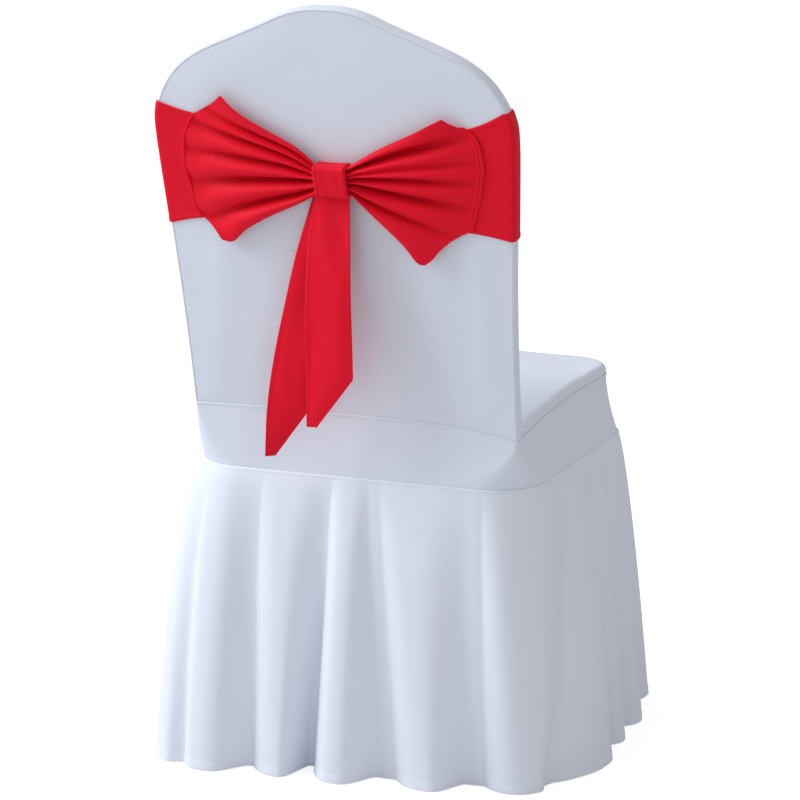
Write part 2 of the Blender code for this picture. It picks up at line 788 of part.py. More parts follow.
def sash_section(tall):
    """One level of the band: points (across, out) and the level's height on the back, at each station."""
    seam = bow_seam_across(tall)
    points = []
    rise = SASH_CLOTH + SASH_GAP
    up = mix(SASH_BOTTOM, SASH_TOP, tall)
    wide = half_width(up) + SEAM_GAP
    up_bow = mix(SASH_BOTTOM_AT_BOW, SASH_TOP_AT_BOW, tall)
    corner = EDGE_ROUND + rise

    def level(across):
        share = min(max((abs(across) - seam) / (wide - seam), 0.0), 1.0)
        return mix(up_bow, up, share)

    for step in range(SASH_REAR_STEPS):
        across = mix(seam, wide, step / SASH_REAR_STEPS)
        points.append((across, rise + puff(across, up, REAR_PUFF), level(across)))
    for step in range(SASH_CORNER_STEPS + 1):
        turn = math.radians(90) * step / SASH_CORNER_STEPS
        points.append((wide + corner * math.sin(turn), corner * math.cos(turn) - EDGE_ROUND, up))
    points.append((wide + corner, -BACK_DEPTH / 2, up))
    front = -BACK_DEPTH + EDGE_ROUND
    for step in range(SASH_CORNER_STEPS + 1):
        turn = math.radians(90) * step / SASH_CORNER_STEPS
        points.append((wide + corner * math.cos(turn), front - corner * math.sin(turn), up))
    for step in range(1, SASH_FRONT_STEPS + 1):
        across = wide * (1 - step / SASH_FRONT_STEPS)
        points.append((across, -BACK_DEPTH - rise - puff(across, up, FRONT_PUFF), up))
    mirrored = [(-across, out, high) for across, out, high in reversed(points[:-1])]
    return points + mirrored


def make_sash_band():
    levels = [sash_section(tall) for tall in SASH_LEVELS]
    last = len(levels[0]) - 1

    def place(column, row):
        across, out, up = levels[row][last - column]
        return on_back(across, up, out)

    mesh = new_sheet(last, len(levels) - 1, place)
    thicken(mesh, SASH_CLOTH)
    new_object("sash_band", mesh, RED)


def make_wing(name, side_rows, top_rows, bottom_rows, pleats):
    """A fan from the sewn outer side to the knot, with pleats that deepen towards the knot."""
    side = smooth_curve(side_rows)
    top = smooth_curve(top_rows)
    bottom = smooth_curve(bottom_rows)
    knot = (bottom[-1], top[-1])

    def place(column, row):
        to_knot = column / WING_COLUMNS
        tall = row / WING_ROWS
        near = point_at(side, tall)
        far = knot[0].lerp(knot[1], tall)
        low = point_at(bottom, to_knot)
        high = point_at(top, to_knot)
        spot = near.lerp(far, to_knot) + low.lerp(high, tall)
        corners = side[0].lerp(side[-1], tall).lerp(far, to_knot)
        spot -= corners
        gather = min(to_knot * GATHER_REACH, 1.0) ** GATHER_CURVE
        pleat = read_line(pleats, tall) * PLEAT_DEPTH * gather
        billow = WING_BILLOW * math.sin(math.pi * to_knot) * math.sin(math.pi * tall)
        return on_back(spot.x, spot.y, spot.z + pleat + billow)

    mesh = new_sheet(WING_COLUMNS, WING_ROWS, place)
    thicken(mesh, WING_CLOTH, way=to_rear)
    new_object(name, mesh, RED)


def knot_section():
    """The wrap seen from its open end: (up, out) points all round a rounded rectangle."""
    ring = Ring(KNOT_TALL / 2, KNOT_DEEP / 2, -KNOT_DEEP / 2, KNOT_ROUND, KNOT_ROUND)
    points = []
    for section in range(9):
        steps = KNOT_CORNER_STEPS if section % 2 else KNOT_SIDE_STEPS
        for step in range(steps):
            points.append(ring_point(ring, section, step / steps)[0])
    points.append(points[0].copy())
    return points


def make_knot():
    section = knot_section()

    def place(column, row):
        spot = section[column]
        share = row / KNOT_ROWS
        waist = KNOT_WAIST * math.sin(math.pi * share)
        across = KNOT_ACROSS + KNOT_LENGTH * (share - 0.5)
        up = KNOT_UP + spot.x * (1 - waist / KNOT_TALL)
        return on_back(across, up, KNOT_OUT + spot.y * (1 - waist / KNOT_DEEP))

    mesh = new_sheet(len(section) - 1, KNOT_ROWS, place)
    close_round(mesh)
    bmesh.ops.recalc_face_normals(mesh, faces=mesh.faces)
    thicken(mesh, SASH_CLOTH)
    new_object("bow_knot", mesh, RED)


def make_tail(name, rows, point_row, out):
    """A tail that hangs plumb from the knot's lower side and ends in a slant and a blunt point."""
    knot_bottom = on_back(0.0, KNOT_UP - KNOT_TALL / 2 - SEAM_GAP, out)
    left = smooth_curve([(row.drop, row.left, row.out) for row in rows + (point_row,)])
    right = smooth_curve([(row.drop, row.right, row.out) for row in rows])
    right.append(Vector((point_row.drop, point_row.right, point_row.out)))

    def place(column, row):
        fall = 1 - row / TAIL_ROWS
        side = column / TAIL_COLUMNS
        left_spot = point_at(left, fall)
        right_spot = point_at(right, fall)
        spot = left_spot.lerp(right_spot, side)
        cup = TAIL_CUP * math.sin(math.pi * side) * min(fall * TAIL_CUP_REACH, 1.0) * (1 - fall**TAIL_CUP_FADE)
        return Vector((spot.y, knot_bottom.y + spot.z + cup, knot_bottom.z - spot.x))

    mesh = new_sheet(TAIL_COLUMNS, TAIL_ROWS, place)
    thicken(mesh, SASH_CLOTH, way=lambda column, row: Vector((0.0, 1.0, 0.0)))
    new_object(name, mesh, RED)


def main():
    clear_scene()
    stations = outline_stations()
    make_rear_panel(stations)
    make_gusset(stations)
    make_front_panel(stations)
    make_seat_panel()
    make_seat_band()
    make_skirt()
    make_sash_band()
    make_wing("bow_wing_left", LEFT_WING_SIDE, LEFT_WING_TOP, LEFT_WING_BOTTOM, LEFT_PLEATS)
    make_wing("bow_wing_right", RIGHT_WING_SIDE, RIGHT_WING_TOP, RIGHT_WING_BOTTOM, RIGHT_PLEATS)
    make_knot()
    make_tail("bow_tail_front", FRONT_TAIL, FRONT_TAIL_POINT, FRONT_TAIL_OUT)
    make_tail("bow_tail_back", BACK_TAIL, BACK_TAIL_POINT, BACK_TAIL_OUT)


main()
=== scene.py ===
"""Looks for a fitted stretch chair cover with a flared skirt and a sash tied in a bow.

Sizes are in millimetres from the middle of the seat until a point is placed. On the leaning back,
`across` runs along X, `up` runs up the rear face from its lower seam and `out` stands off that face.
"""

import bisect
import math
from collections import namedtuple
from functools import partial

import bmesh
import bpy
from mathutils import Matrix, Vector


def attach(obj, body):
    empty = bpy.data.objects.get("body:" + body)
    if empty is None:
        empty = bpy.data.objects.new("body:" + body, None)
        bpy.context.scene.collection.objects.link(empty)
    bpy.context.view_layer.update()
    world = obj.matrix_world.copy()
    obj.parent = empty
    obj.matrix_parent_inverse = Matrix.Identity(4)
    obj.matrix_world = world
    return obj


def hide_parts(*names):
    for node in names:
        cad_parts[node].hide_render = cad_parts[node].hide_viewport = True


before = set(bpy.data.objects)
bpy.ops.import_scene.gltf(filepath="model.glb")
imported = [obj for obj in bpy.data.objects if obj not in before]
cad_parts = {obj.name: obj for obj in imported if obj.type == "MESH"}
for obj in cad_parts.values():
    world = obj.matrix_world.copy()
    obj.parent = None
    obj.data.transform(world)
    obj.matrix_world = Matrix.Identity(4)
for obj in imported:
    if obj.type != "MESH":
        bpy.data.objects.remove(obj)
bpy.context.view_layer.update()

MM = 0.001
MIDDLE = Vector((-0.5, 16.4, 0.0))


def table(columns, *rows):
    """Rows of numbers whose columns have names."""
    row_kind = namedtuple("Row", columns)
    return [row_kind(*row) for row in rows]


def even(steps):
    """Even shares from 0 to 1."""
    return [step / steps for step in range(steps + 1)]


# Cloth
WHITE_CLOTH = 1.2
RED_CLOTH = 1.1
SEAM_GAP = 0.4
CLOSE_GAP = 0.06
SASH_RISE = 2.1
CURVE_STEPS = 16
BEAD_PLACE = 1.9
BEAD_WIDTH = 1.3
TURN_IN = 1.2  # width of the edge that a seam pulls in
PANEL_TURN = 0.15

# Back
LEAN = math.radians(10.3)
REAR_FACE = 201.0
LOWER_SEAM = 440.0
BACK_DEPTH = 19.0
EDGE_ROUND = 3.4
REAR_PUFF = 4.0
FRONT_PUFF = 3.0
SHOULDER_UP = 391.0
BACK_TOP = 491.0
SIDE_STEPS = 90
CROWN_STEPS = 130
GUSSET_BEAD = 0.5
GUSSET_TURN_STEPS = 14
GUSSET_MIDDLE_STEPS = 6
GUSSET_SIDE_STEPS = 70
GUSSET_CROWN_STEPS = 150
GUSSET_END = 0.25  # share of a side over which the strip turns to follow the seat seam

BACK_OUTLINE = table(
    "across up",
    (203.1, -30), (203.3, 0), (204.4, 70), (207.2, 150), (211.2, 225), (215.6, 300), (217.5, 342),
    (216, 368), (206.6, 391), (193.2, 410.5), (174.6, 427.2), (150.5, 441), (112, 457), (80, 470),
    (47, 484), (22, 489.8), (0, 491),
)

# Seat seam: it dips towards the rear corner on the -X side
SEAM = "place height"
REAR_SEAM = table(
    SEAM,
    (-204, 426.5), (-185, 430.5), (-161, 435.3), (-123, 440), (-61, 441.9), (55, 443), (112, 443.9),
    (204, 442),
)
RIGHT_SEAM = table(
    SEAM,
    (-190, 441), (-72, 441.5), (-12, 442.5), (57, 439.5), (119, 436), (155, 432), (201, 426.5),
)
LEFT_SEAM = table(
    SEAM,
    (-190, 441), (-12, 442.5), (119, 443), (201, 442),
)

# Seat panel and the band under it
Ring = namedtuple("Ring", "half_width rear front rear_radius front_radius")
SEAT_RING = Ring(206.7, REAR_FACE, -186.0, EDGE_ROUND, 55.0)
SKIRT_RING = Ring(222.0, 202.0, -202.0, 70.0, 70.0)
SKIRT_SEAM = 365.5
BAND_FLARE = 1.7
BAND_ROWS = 30
BAND_HEIGHT = 77.0
BAND_BEAD = 1.2
SEAT_LIP = 2.5
SEAT_ROUND = 9.0
SEAT_DOME = 4.5
SEAT_INSETS = (0.0, 0.3, 0.8, 1.6, 2.6, 4.0, 5.6, 7.4, 9.5, 12.5, 17.0, 23.0, 30.0)
SEAT_INNER_COLUMNS = 40
SEAT_INNER_ROWS = 46
SEAT_FLAT = 80.0
SEAT_FLAT_SEAM = 441.0
SEAT_BLEND = 1.3

# Skirt: a ridge and the valley after it, each with its place at the seam and at the hem. `rise` is
# where the cloth starts to climb from the last valley, as a share of the way to the ridge. `hold` is
# how long the ridge's top lasts: 1 falls away at once, 2 stays nearly full for half the way.
FOLD = "ridge_seam ridge_hem ridge_out rise hold valley_seam valley_hem valley_out"
FOLDS = table(
    FOLD,
    (-216, -190, 82, 0.2, 1.6, -186, -178, 66), (-172, -166, 79, 0.1, 1.2, -116, -118, 39),
    (-88, -76, 64, 0.05, 1.7, -26, -52, 12), (-4, -6, 60, 0.12, 1.7, 24, 40, 19),
    (60, 108, 43, 0.35, 1.7, 152, 148, 2), (188, 214, 38, 0.33, 1.6, 304, 230, 24),
    (372, 332, 63, 0.1, 1.4, 404, 370, 24), (436, 408, 55, 0.2, 1.5, 468, 448, 26),
    (506, 489, 53, 0.1, 1.3, 540, 532, 24), (584, 590, 60, 0.3, 1.2, 628, 640, 22),
    (676, 690, 52, 0.1, 1.6, 712, 722, 10), (756, 762, 45, 0.2, 1.2, 792, 798, 4),
    (838, 836, 54, 0.4, 1.4, 872, 872, 12), (908, 914, 47, 0.1, 1.5, 942, 944, 12),
    (986, 992, 55, 0.3, 1.4, 1026, 1030, 18), (1066, 1072, 58, 0.1, 1.3, 1100, 1106, 14),
    (1144, 1146, 50, 0.3, 1.2, 1182, 1186, 20), (1222, 1230, 58, 0.2, 1.6, 1256, 1268, 22),
    (1300, 1312, 62, 0.1, 1.4, 1332, 1348, 40),
)
FOLD_COLUMNS = 18
SKIRT_ROWS = 44
SKIRT_BEAD = 1.0
FLARE_CURVE = 0.6
FOLD_CURVE = 0.85
FOLD_FOOT = 2.4
HEM = 11.0

# Sash band: its edges on the back, from the side to the raised seams under the bow
SASH_TOP = 379.0
SASH_BOTTOM = 232.0
SASH_BULGE = 1.6
BandEnd = namedtuple("BandEnd", "top_at_bow top_at_side bottom_at_bow bottom_at_side")
LEFT_BAND = BandEnd(366.0, 378.5, 240.0, 230.5)
RIGHT_BAND = BandEnd(361.5, 382.0, 240.5, 232.0)
BOW_SEAM_END = 158.0
BOW_SEAM_BULGE = 17.0
BOW_SEAM_CURVE = 0.8
SASH_REAR_STEPS = 18
SASH_CORNER_STEPS = 8
SASH_FRONT_STEPS = 26
SASH_ROWS = 24
SASH_HEM = 6.0
SASH_HEM_RISE = 0.45
SASH_EDGE_DROP = 0.7

# Bow
EDGE = "across up out"
LEFT_WING_TOP = table(
    EDGE,
    (128, 392.6, 15), (115.4, 380.5, 16.5), (99, 369.4, 17.5), (73.5, 356, 18), (38, 337.8, 18),
    (18, 322.5, 18.5), (11, 316, 20.5), (-3.5, 313.5, 21.5),
)
LEFT_WING_BOTTOM = table(
    EDGE,
    (142.5, 216, 13.5), (128, 216, 14), (108, 233, 16.5), (76, 251, 18), (38, 268.5, 18),
    (18, 279.5, 18.5), (11, 284.5, 20.5), (-3.5, 285.5, 21.5),
)
LEFT_WING_SIDE = table(
    EDGE,
    (142.5, 216, 13.5), (155.3, 232, 9), (170, 243.6, 5.6), (176.8, 256.9, 5), (179.4, 275, 5),
    (183.3, 290.7, 5), (185.5, 305, 5), (184.6, 323.4, 5), (182.7, 338, 5), (176.6, 354, 5),
    (166.5, 367.2, 5.6), (142, 381.3, 10), (128, 392.6, 15),
)
RIGHT_WING_TOP = table(
    EDGE,
    (-142.8, 376.4, 16), (-125, 367.5, 17.5), (-107.9, 358.6, 18), (-71.8, 341.8, 18), (-48, 329, 18),
    (-32, 319.5, 18.5), (-25, 315.5, 20.5), (-10.5, 313.5, 21.5),
)
RIGHT_WING_BOTTOM = table(
    EDGE,
    (-111.5, 202, 15.5), (-102.5, 205, 16.5), (-86.9, 226.5, 18), (-62.7, 250.5, 18.5),
    (-40, 271.5, 18), (-30, 281.5, 18.5), (-25, 284.5, 20.5), (-10.5, 285.5, 21.5),
)
RIGHT_WING_SIDE = table(
    EDGE,
    (-111.5, 202, 15.5), (-121, 209, 13.5), (-129.5, 219, 11), (-144.5, 231.5, 8.5),
    (-162.2, 242, 5.6), (-165, 250.5, 5), (-171.6, 273.4, 5), (-177.5, 296.8, 5), (-180.1, 319.2, 5),
    (-177.5, 341, 5), (-168.5, 363, 5.6), (-159.5, 366, 8), (-150.5, 370.5, 12), (-142.8, 376.4, 16),
)
# Pleats: places from the wing's lower edge (0) to its upper edge (1), and heights, at the sewn side
# and at the knot
PLEAT = "side knot side_height knot_height"
LEFT_PLEATS = table(
    PLEAT,
    (0, 0, 0.1, 0.1), (0.07, 0.06, 0.9, 0.9), (0.18, 0.16, -1.1, -1.1), (0.29, 0.29, 1, 1),
    (0.39, 0.41, -1.2, -1.4), (0.49, 0.52, 0.9, 0.9), (0.58, 0.62, -0.9, -1.1), (0.66, 0.7, 0.9, 0.9),
    (0.74, 0.78, -1.1, -1.1), (0.8, 0.85, 0.8, 0.9), (0.86, 0.91, -0.9, -0.9), (0.93, 0.96, 0.4, 0.5),
    (1, 1, 0, 0),
)
RIGHT_PLEATS = table(
    PLEAT,
    (0, 0, 0.2, 0.2), (0.13, 0.02, 0.8, 0.5), (0.25, 0.06, -0.8, -0.9), (0.34, 0.2, 0.9, 1),
    (0.43, 0.36, -1.1, -1.4), (0.5, 0.46, 0.8, 0.9), (0.57, 0.56, -0.8, -1.1), (0.62, 0.64, 0.9, 1),
    (0.68, 0.7, -0.7, 0.4), (0.74, 0.76, 0.9, 1), (0.82, 0.85, -1, -1.3), (0.91, 0.94, 0.8, 0.6),
    (1, 1, -0.2, -0.1),
)
PLEAT_DEPTH = 6.6
PLEAT_AT_SEAM = 0.14
PLEAT_AT_KNOT = 0.45
PLEAT_CLOSE = 0.75  # share of the way to the knot after which the pleats are pressed together
VALLEY_SHARPNESS = 1.15
# Where the painted shade in the pleats' valleys begins and how fast it grows
PAINTED_SHADE_START = 0.3
PAINTED_SHADE_SPAN = 1.3
GATHER_REACH = 0.4
GATHER_CURVE = 0.75
WING_BILLOW = 2.5
WING_EDGE_DROP = 1.2
WING_EDGE_SHARE = 0.02
WING_COLUMNS = 80
WING_ROWS = 150
ROLL_STEPS = 140
ROLL_SIDES = 16
ROLL_END = 12  # the higher, the shorter a roll's round end

# Knot and tails
KNOT_ACROSS = -7.0
KNOT_UP = 299.5
KNOT_OUT = 17.8
KNOT_LENGTH = 41.0
KNOT_TALL = 39.0
KNOT_DEEP = 26.0
KNOT_ROUND = 6.0
KNOT_CORNER_STEPS = 8
KNOT_SIDE_STEPS = 10
KNOT_ROWS = 40
KNOT_WAIST = 1.0
KNOT_TURN = 3.4
KNOT_TURN_DEPTH = 4.4
KNOT_HEM = 5.0
KNOT_HEM_RISE = 0.3
KNOT_LEAN = 0.7
KNOT_REAR = 4.0
TAIL = "drop left right out"
FRONT_TAIL = table(
    TAIL,
    (0, 18, -26, 0), (52, 26, -27, 1), (112, 29, -28, 2.5), (167, 30, -29.5, 3), (212, 30, -30, 2),
    (273, 30, 17, 0),
)
FRONT_TAIL_OUT = 17.5
BACK_TAIL = table(
    TAIL,
    (0, 22, -22, 0), (62, 40.5, -12, 1), (122, 55, -2, 1.5), (192, 71.5, 12, 1), (255, 82, 30, 0),
    (316, 86, 76, -2),
)
BACK_TAIL_OUT = 10.5
TAIL_COLUMNS = 36
TAIL_ROWS = 90
TAIL_CUP = 3.0
TAIL_WIDTH = 55.0
TAIL_HEM = 4.5
TAIL_WAVE = 0.8
TAIL_REACH = 3  # the cup and the tilt are full after a third of the fall
BACK_TAIL_TILT = 8.0

# Creases: a soft ridge (height above 0) or trough from one point to another. CREASE_END is how slowly
# it fades past its ends, against its sides, and CREASE_FADE how far from a seam it is full.
CREASE_END = 1.6
CREASE_REACH = 9
CREASE_FADE = 12
CREASE = "start_x start_y end_x end_y width height"
REAR_CREASES = table(
    CREASE,
    (70, 190, -92, 6, 26, -0.9), (-28, 190, -66, 4, 16, 1.5), (-80, 214, -132, 20, 22, -1.6),
    (-172, 200, -176, 60, 16, 1.2), (150, 190, 178, 10, 20, 1), (120, 60, 40, 8, 16, 0.7),
    (-196, 44, -150, 4, 7, 0.6), (150, 400, 60, 450, 24, 0.7), (-150, 390, -60, 440, 22, 0.6),
)
FRONT_CREASES = table(
    CREASE,
    (-120, 60, 60, 20, 18, 0.9), (120, 80, 20, 16, 16, -0.8), (-90, 200, 100, 170, 26, 0.8),
    (150, 410, 60, 440, 20, 0.7), (-170, 160, -150, 30, 14, 0.8),
)
BAND_CREASES = table(
    CREASE,
    (-236, 62, -190, 12, 12, 0.9), (-150, 60, -90, 20, 18, 0.6), (150, 58, 176, 16, 18, 0.8),
    (60, 50, 100, 20, 22, -0.6), (-20, 60, -50, 14, 24, 0.5), (-330, 56, -390, 20, 16, 0.8),
    (-520, 60, -470, 16, 16, -0.7), (560, 58, 600, 14, 18, 0.8), (430, 50, 380, 14, 16, 0.7),
)
SEAT_CREASES = table(
    CREASE,
    (-196, 150, -150, 60, 14, -1), (-120, 150, -60, 130, 16, 0.8), (120, 140, 40, 100, 18, 0.7),
    (-110, -120, -60, -60, 22, 0.7), (90, -130, 150, -90, 20, 0.6),
)
KNOT_CREASES = table(
    CREASE,
    (14, -19, 15, 16, 2.2, -0.4), (-6, -16, -3, 12, 5, 0.5), (4, -18, 6, 14, 3, -0.3),
)
FRONT_TAIL_CREASES = table(
    CREASE,
    (12, 6, 30, 80, 8, 1.2), (26, 0, 46, 50, 7, -1.1), (10, 90, 8, 190, 8, -0.7),
    (40, 100, 44, 210, 10, 0.6),
)
BACK_TAIL_CREASES = table(
    CREASE,
    (6, 90, 16, 230, 7, 0.8), (24, 60, 30, 250, 8, -0.7),
)


def mix(start, end, share):
    return start + (end - start) * share


def clamp(value, low=0.0, high=1.0):
    return min(max(value, low), high)


def soft_step(value):
    value = clamp(value)
    return value * value * (3 - 2 * value)


def line_reader(rows):
    """A function that reads a table's second column at a place in its first."""
    keys = [row[0] for row in rows]

    def read(place):
        index = clamp(bisect.bisect_left(keys, place), 1, len(keys) - 1)
        low, high = rows[index - 1], rows[index]
        return mix(low[1], high[1], clamp((place - low[0]) / (high[0] - low[0])))

    return read


def smooth_curve(rows):
    """A list of points on a round curve through the rows."""
    points = [Vector(row).to_3d() if len(row) == 2 else Vector(row) for row in rows]
    ends = [points[0] * 2 - points[1]] + points + [points[-1] * 2 - points[-2]]
    curve = []
    for before, start, end, after in zip(ends, ends[1:], ends[2:], ends[3:]):
        for step in range(CURVE_STEPS):
            share = step / CURVE_STEPS
            line = start * 2 + (end - before) * share
            line += (before * 2 - start * 5 + end * 4 - after) * share**2
            line += (start * 3 - before - end * 3 + after) * share**3
            curve.append(line / 2)
    curve.append(points[-1])
    return curve


def curve_reader(curve):
    """A function that gives the point at a share of a curve's length."""
    lengths = [0.0]
    for start, end in zip(curve, curve[1:]):
        lengths.append(lengths[-1] + (end - start).length)

    def read(share):
        wanted = clamp(share) * lengths[-1]
        index = clamp(bisect.bisect_left(lengths, wanted), 1, len(lengths) - 1)
        span = lengths[index] - lengths[index - 1]
        return curve[index - 1].lerp(curve[index], (wanted - lengths[index - 1]) / span)

    return read


def spread(steps, closeness=0.85):
    """Shares from 0 to 1 that lie close together near both ends."""
    shares = []
    for step in range(steps + 1):
        even = step / steps
        shares.append(mix(even, (1 - math.cos(math.pi * even)) / 2, closeness))
    return shares


def crease_height(creases, x, y):
    """The sum of the creases at a point of a flat layout."""
    total = 0.0
    for crease in creases:
        run_x, run_y = crease.end_x - crease.start_x, crease.end_y - crease.start_y
        length = math.hypot(run_x, run_y)
        along = ((x - crease.start_x) * run_x + (y - crease.start_y) * run_y) / length
        aside = ((x - crease.start_x) * run_y - (y - crease.start_y) * run_x) / length
        beyond = max(-along, along - length, 0.0)
        spot = (aside / crease.width) ** 2 + (beyond / (CREASE_END * crease.width)) ** 2
        if spot < CREASE_REACH:
            total += crease.height * math.exp(-spot)
    return total


def seam_bead(distance, bead, turn):
    """How far cloth stands out near a seam: a soft bead, and the edge turned in."""
    lift = bead * math.exp(-(((distance - BEAD_PLACE) / BEAD_WIDTH) ** 2))
    if distance < TURN_IN:
        lift -= turn * (1 - distance / TURN_IN) ** 2
    return lift


def new_cloth(columns, rows, place, size, close=False):
    """A grid of cloth from lists of shares: place(side, tall) gives the points, size its flat metres."""
    mesh = bmesh.new()
    layout = mesh.loops.layers.uv.new("cloth")
    bmesh.ops.create_grid(mesh, x_segments=len(columns) - 1, y_segments=len(rows) - 1, size=0.5)
    for face in mesh.faces:
        face.smooth = True
        for loop in face.loops:
            column = round((loop.vert.co.x + 0.5) * (len(columns) - 1))
            row = round((loop.vert.co.y + 0.5) * (len(rows) - 1))
            loop[layout].uv = (columns[column] * size[0], rows[row] * size[1])
    for vert in mesh.verts:
        column = round((vert.co.x + 0.5) * (len(columns) - 1))
        row = round((vert.co.y + 0.5) * (len(rows) - 1))
        vert.co = place(columns[column], rows[row])
    if close:
        bmesh.ops.remove_doubles(mesh, verts=mesh.verts, dist=0.01)
    return mesh


def face_out(mesh, way):
    """Turns a sheet's face side towards way(point)."""
    mesh.normal_update()
    parts = (face.normal.dot(way(face.calc_center_median())) * face.calc_area() for face in mesh.faces)
    if sum(parts) < 0:
        bmesh.ops.reverse_faces(mesh, faces=mesh.faces)


def finish_piece(name, mesh, material, nodes=()):
    """Turns a bmesh in millimetres into a piece that rides on the cover."""
    for edge in mesh.edges:
        edge.smooth = not edge.is_boundary
    for vert in mesh.verts:
        vert.co = (vert.co - MIDDLE) * MM
    data = bpy.data.meshes.new(name)
    mesh.to_mesh(data)
    mesh.free()
    item = bpy.data.objects.new(name, data)
    bpy.context.scene.collection.objects.link(item)
    data.materials.append(material)
    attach(item, "root")
    if nodes:
        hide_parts(*nodes)
    return item


def add_thickness(item, thickness):
    """Closes a sheet into thin cloth behind its face side."""
    solid = item.modifiers.new("thickness", "SOLIDIFY")
    solid.thickness = thickness * MM
    solid.offset = -1.0
    solid.use_even_offset = False
    solid.use_rim = True


def from_axis(point):
    """The level way out from the cover's middle."""
    return Vector((point.x, point.y, 0.0))


def finish_sheet(name, mesh, way, material, slot, node):
    """A sheet with its face side towards way(point), as thin cloth in place of a node."""
    face_out(mesh, way)
    item = finish_piece(name, mesh, material, [node])
    add_thickness(item, RED_CLOTH if slot == "red_cloth" else WHITE_CLOTH)
    return item


# Back


def on_back(across, up, out):
    return Vector(
        (
            across,
            REAR_FACE + up * math.sin(LEAN) + out * math.cos(LEAN),
            LOWER_SEAM + up * math.cos(LEAN) - out * math.sin(LEAN),
        )
    )


TO_REAR = on_back(0.0, 0.0, 1.0) - on_back(0.0, 0.0, 0.0)
HALF_OUTLINE = smooth_curve(BACK_OUTLINE)
half_width = line_reader([(point.y, point.x) for point in HALF_OUTLINE])
crown_up = line_reader([(p.x, p.y) for p in reversed(HALF_OUTLINE) if p.y > SHOULDER_UP - 20])
rear_seam = line_reader(REAR_SEAM)
right_seam = line_reader(RIGHT_SEAM)
left_seam = line_reader(LEFT_SEAM)


def puff(across, up, amount):
    """How far a panel of the back stands out in its middle; nothing at its seams."""
    wide = max(half_width(up), 1.0)
    tall = clamp(up / BACK_TOP)
    return amount * max(0.0, 1 - (across / wide) ** 2) * math.sin(math.pi * tall)


def seam_height(x, y):
    return right_seam(y) if x < 0 else left_seam(y)


def up_at_height(height, out):
    return (height - LOWER_SEAM + out * math.sin(LEAN)) / math.cos(LEAN)


def corner_up(side, out):
    y = REAR_FACE + out * math.cos(LEAN)
    return up_at_height(seam_height(side, y) + SEAM_GAP, out)


def seam_up(across):
    return up_at_height(rear_seam(across) + CLOSE_GAP, 0.0)


def outline_side(side, tall):
    """A point of the back's seam line on one side, from the seat seam (0) to the shoulder (1)."""
    up = mix(corner_up(side, 0.0), SHOULDER_UP, tall)
    return Vector((side * half_width(up), up))


def outline_crown(share):
    """A point of the back's seam line over the crown, from the +X shoulder to the other."""
    across = half_width(SHOULDER_UP) * math.cos(math.pi * share)
    return Vector((across, crown_up(abs(across))))


def panel_spot(side, tall, bottom):
    """A point of a back panel blended from its four edges, and its distance from them."""
    left = outline_side(1, tall)
    right = outline_side(-1, tall)
    top = outline_crown(side)
    low_left, low_right = (
        Vector((outline_side(end, 0.0).x, bottom(outline_side(end, 0.0).x))) for end in (1, -1)
    )
    if tall == 0:
        left, right = low_left, low_right
    across = mix(low_left.x, low_right.x, side)
    low = Vector((across, bottom(across)))
    high = outline_crown(0.0).lerp(outline_crown(1.0), side)
    corners = low_left.lerp(low_right, side).lerp(high, tall)
    spot = left.lerp(right, side) + low.lerp(top, tall) - corners
    from_sides = min((spot - left).length, (spot - right).length, (spot - top).length)
    return spot, from_sides, (spot - low).length


def make_rear_panel(material):
    def place(side, tall):
        spot, from_sides, from_bottom = panel_spot(side, tall, seam_up)
        out = puff(spot.x, spot.y, REAR_PUFF)
        out += seam_bead(from_sides, 0.0, PANEL_TURN) + seam_bead(from_bottom, 0.0, PANEL_TURN)
        inner = clamp(min(from_sides, from_bottom) / CREASE_FADE)
        out += crease_height(REAR_CREASES, spot.x, spot.y) * inner
        return on_back(spot.x, spot.y, out)

    mesh = new_cloth(even(CROWN_STEPS), spread(SIDE_STEPS), place, (0.434, 0.5))
    item = finish_sheet(
        "rear_panel_cloth", mesh, lambda point: TO_REAR, material, "white_cloth", "back_rear_panel"
    )


def make_front_panel(material):
    left_up = corner_up(1, -BACK_DEPTH)
    right_up = corner_up(-1, -BACK_DEPTH)

    def bottom(across):
        return mix(right_up, left_up, (across / half_width(0.0) + 1) / 2)

    def place(side, tall):
        spot, from_sides, from_bottom = panel_spot(side, tall, bottom)
        out = puff(spot.x, spot.y, FRONT_PUFF) + seam_bead(from_sides, 0.0, PANEL_TURN)
        out += crease_height(FRONT_CREASES, spot.x, spot.y) * clamp(from_sides / CREASE_FADE)
        return on_back(spot.x, spot.y, -BACK_DEPTH - out)

    mesh = new_cloth(even(CROWN_STEPS), spread(SIDE_STEPS), place, (0.434, 0.5))
    item = finish_sheet(
        "front_panel_cloth", mesh, lambda point: -TO_REAR, material, "white_cloth", "back_front_panel"
    )


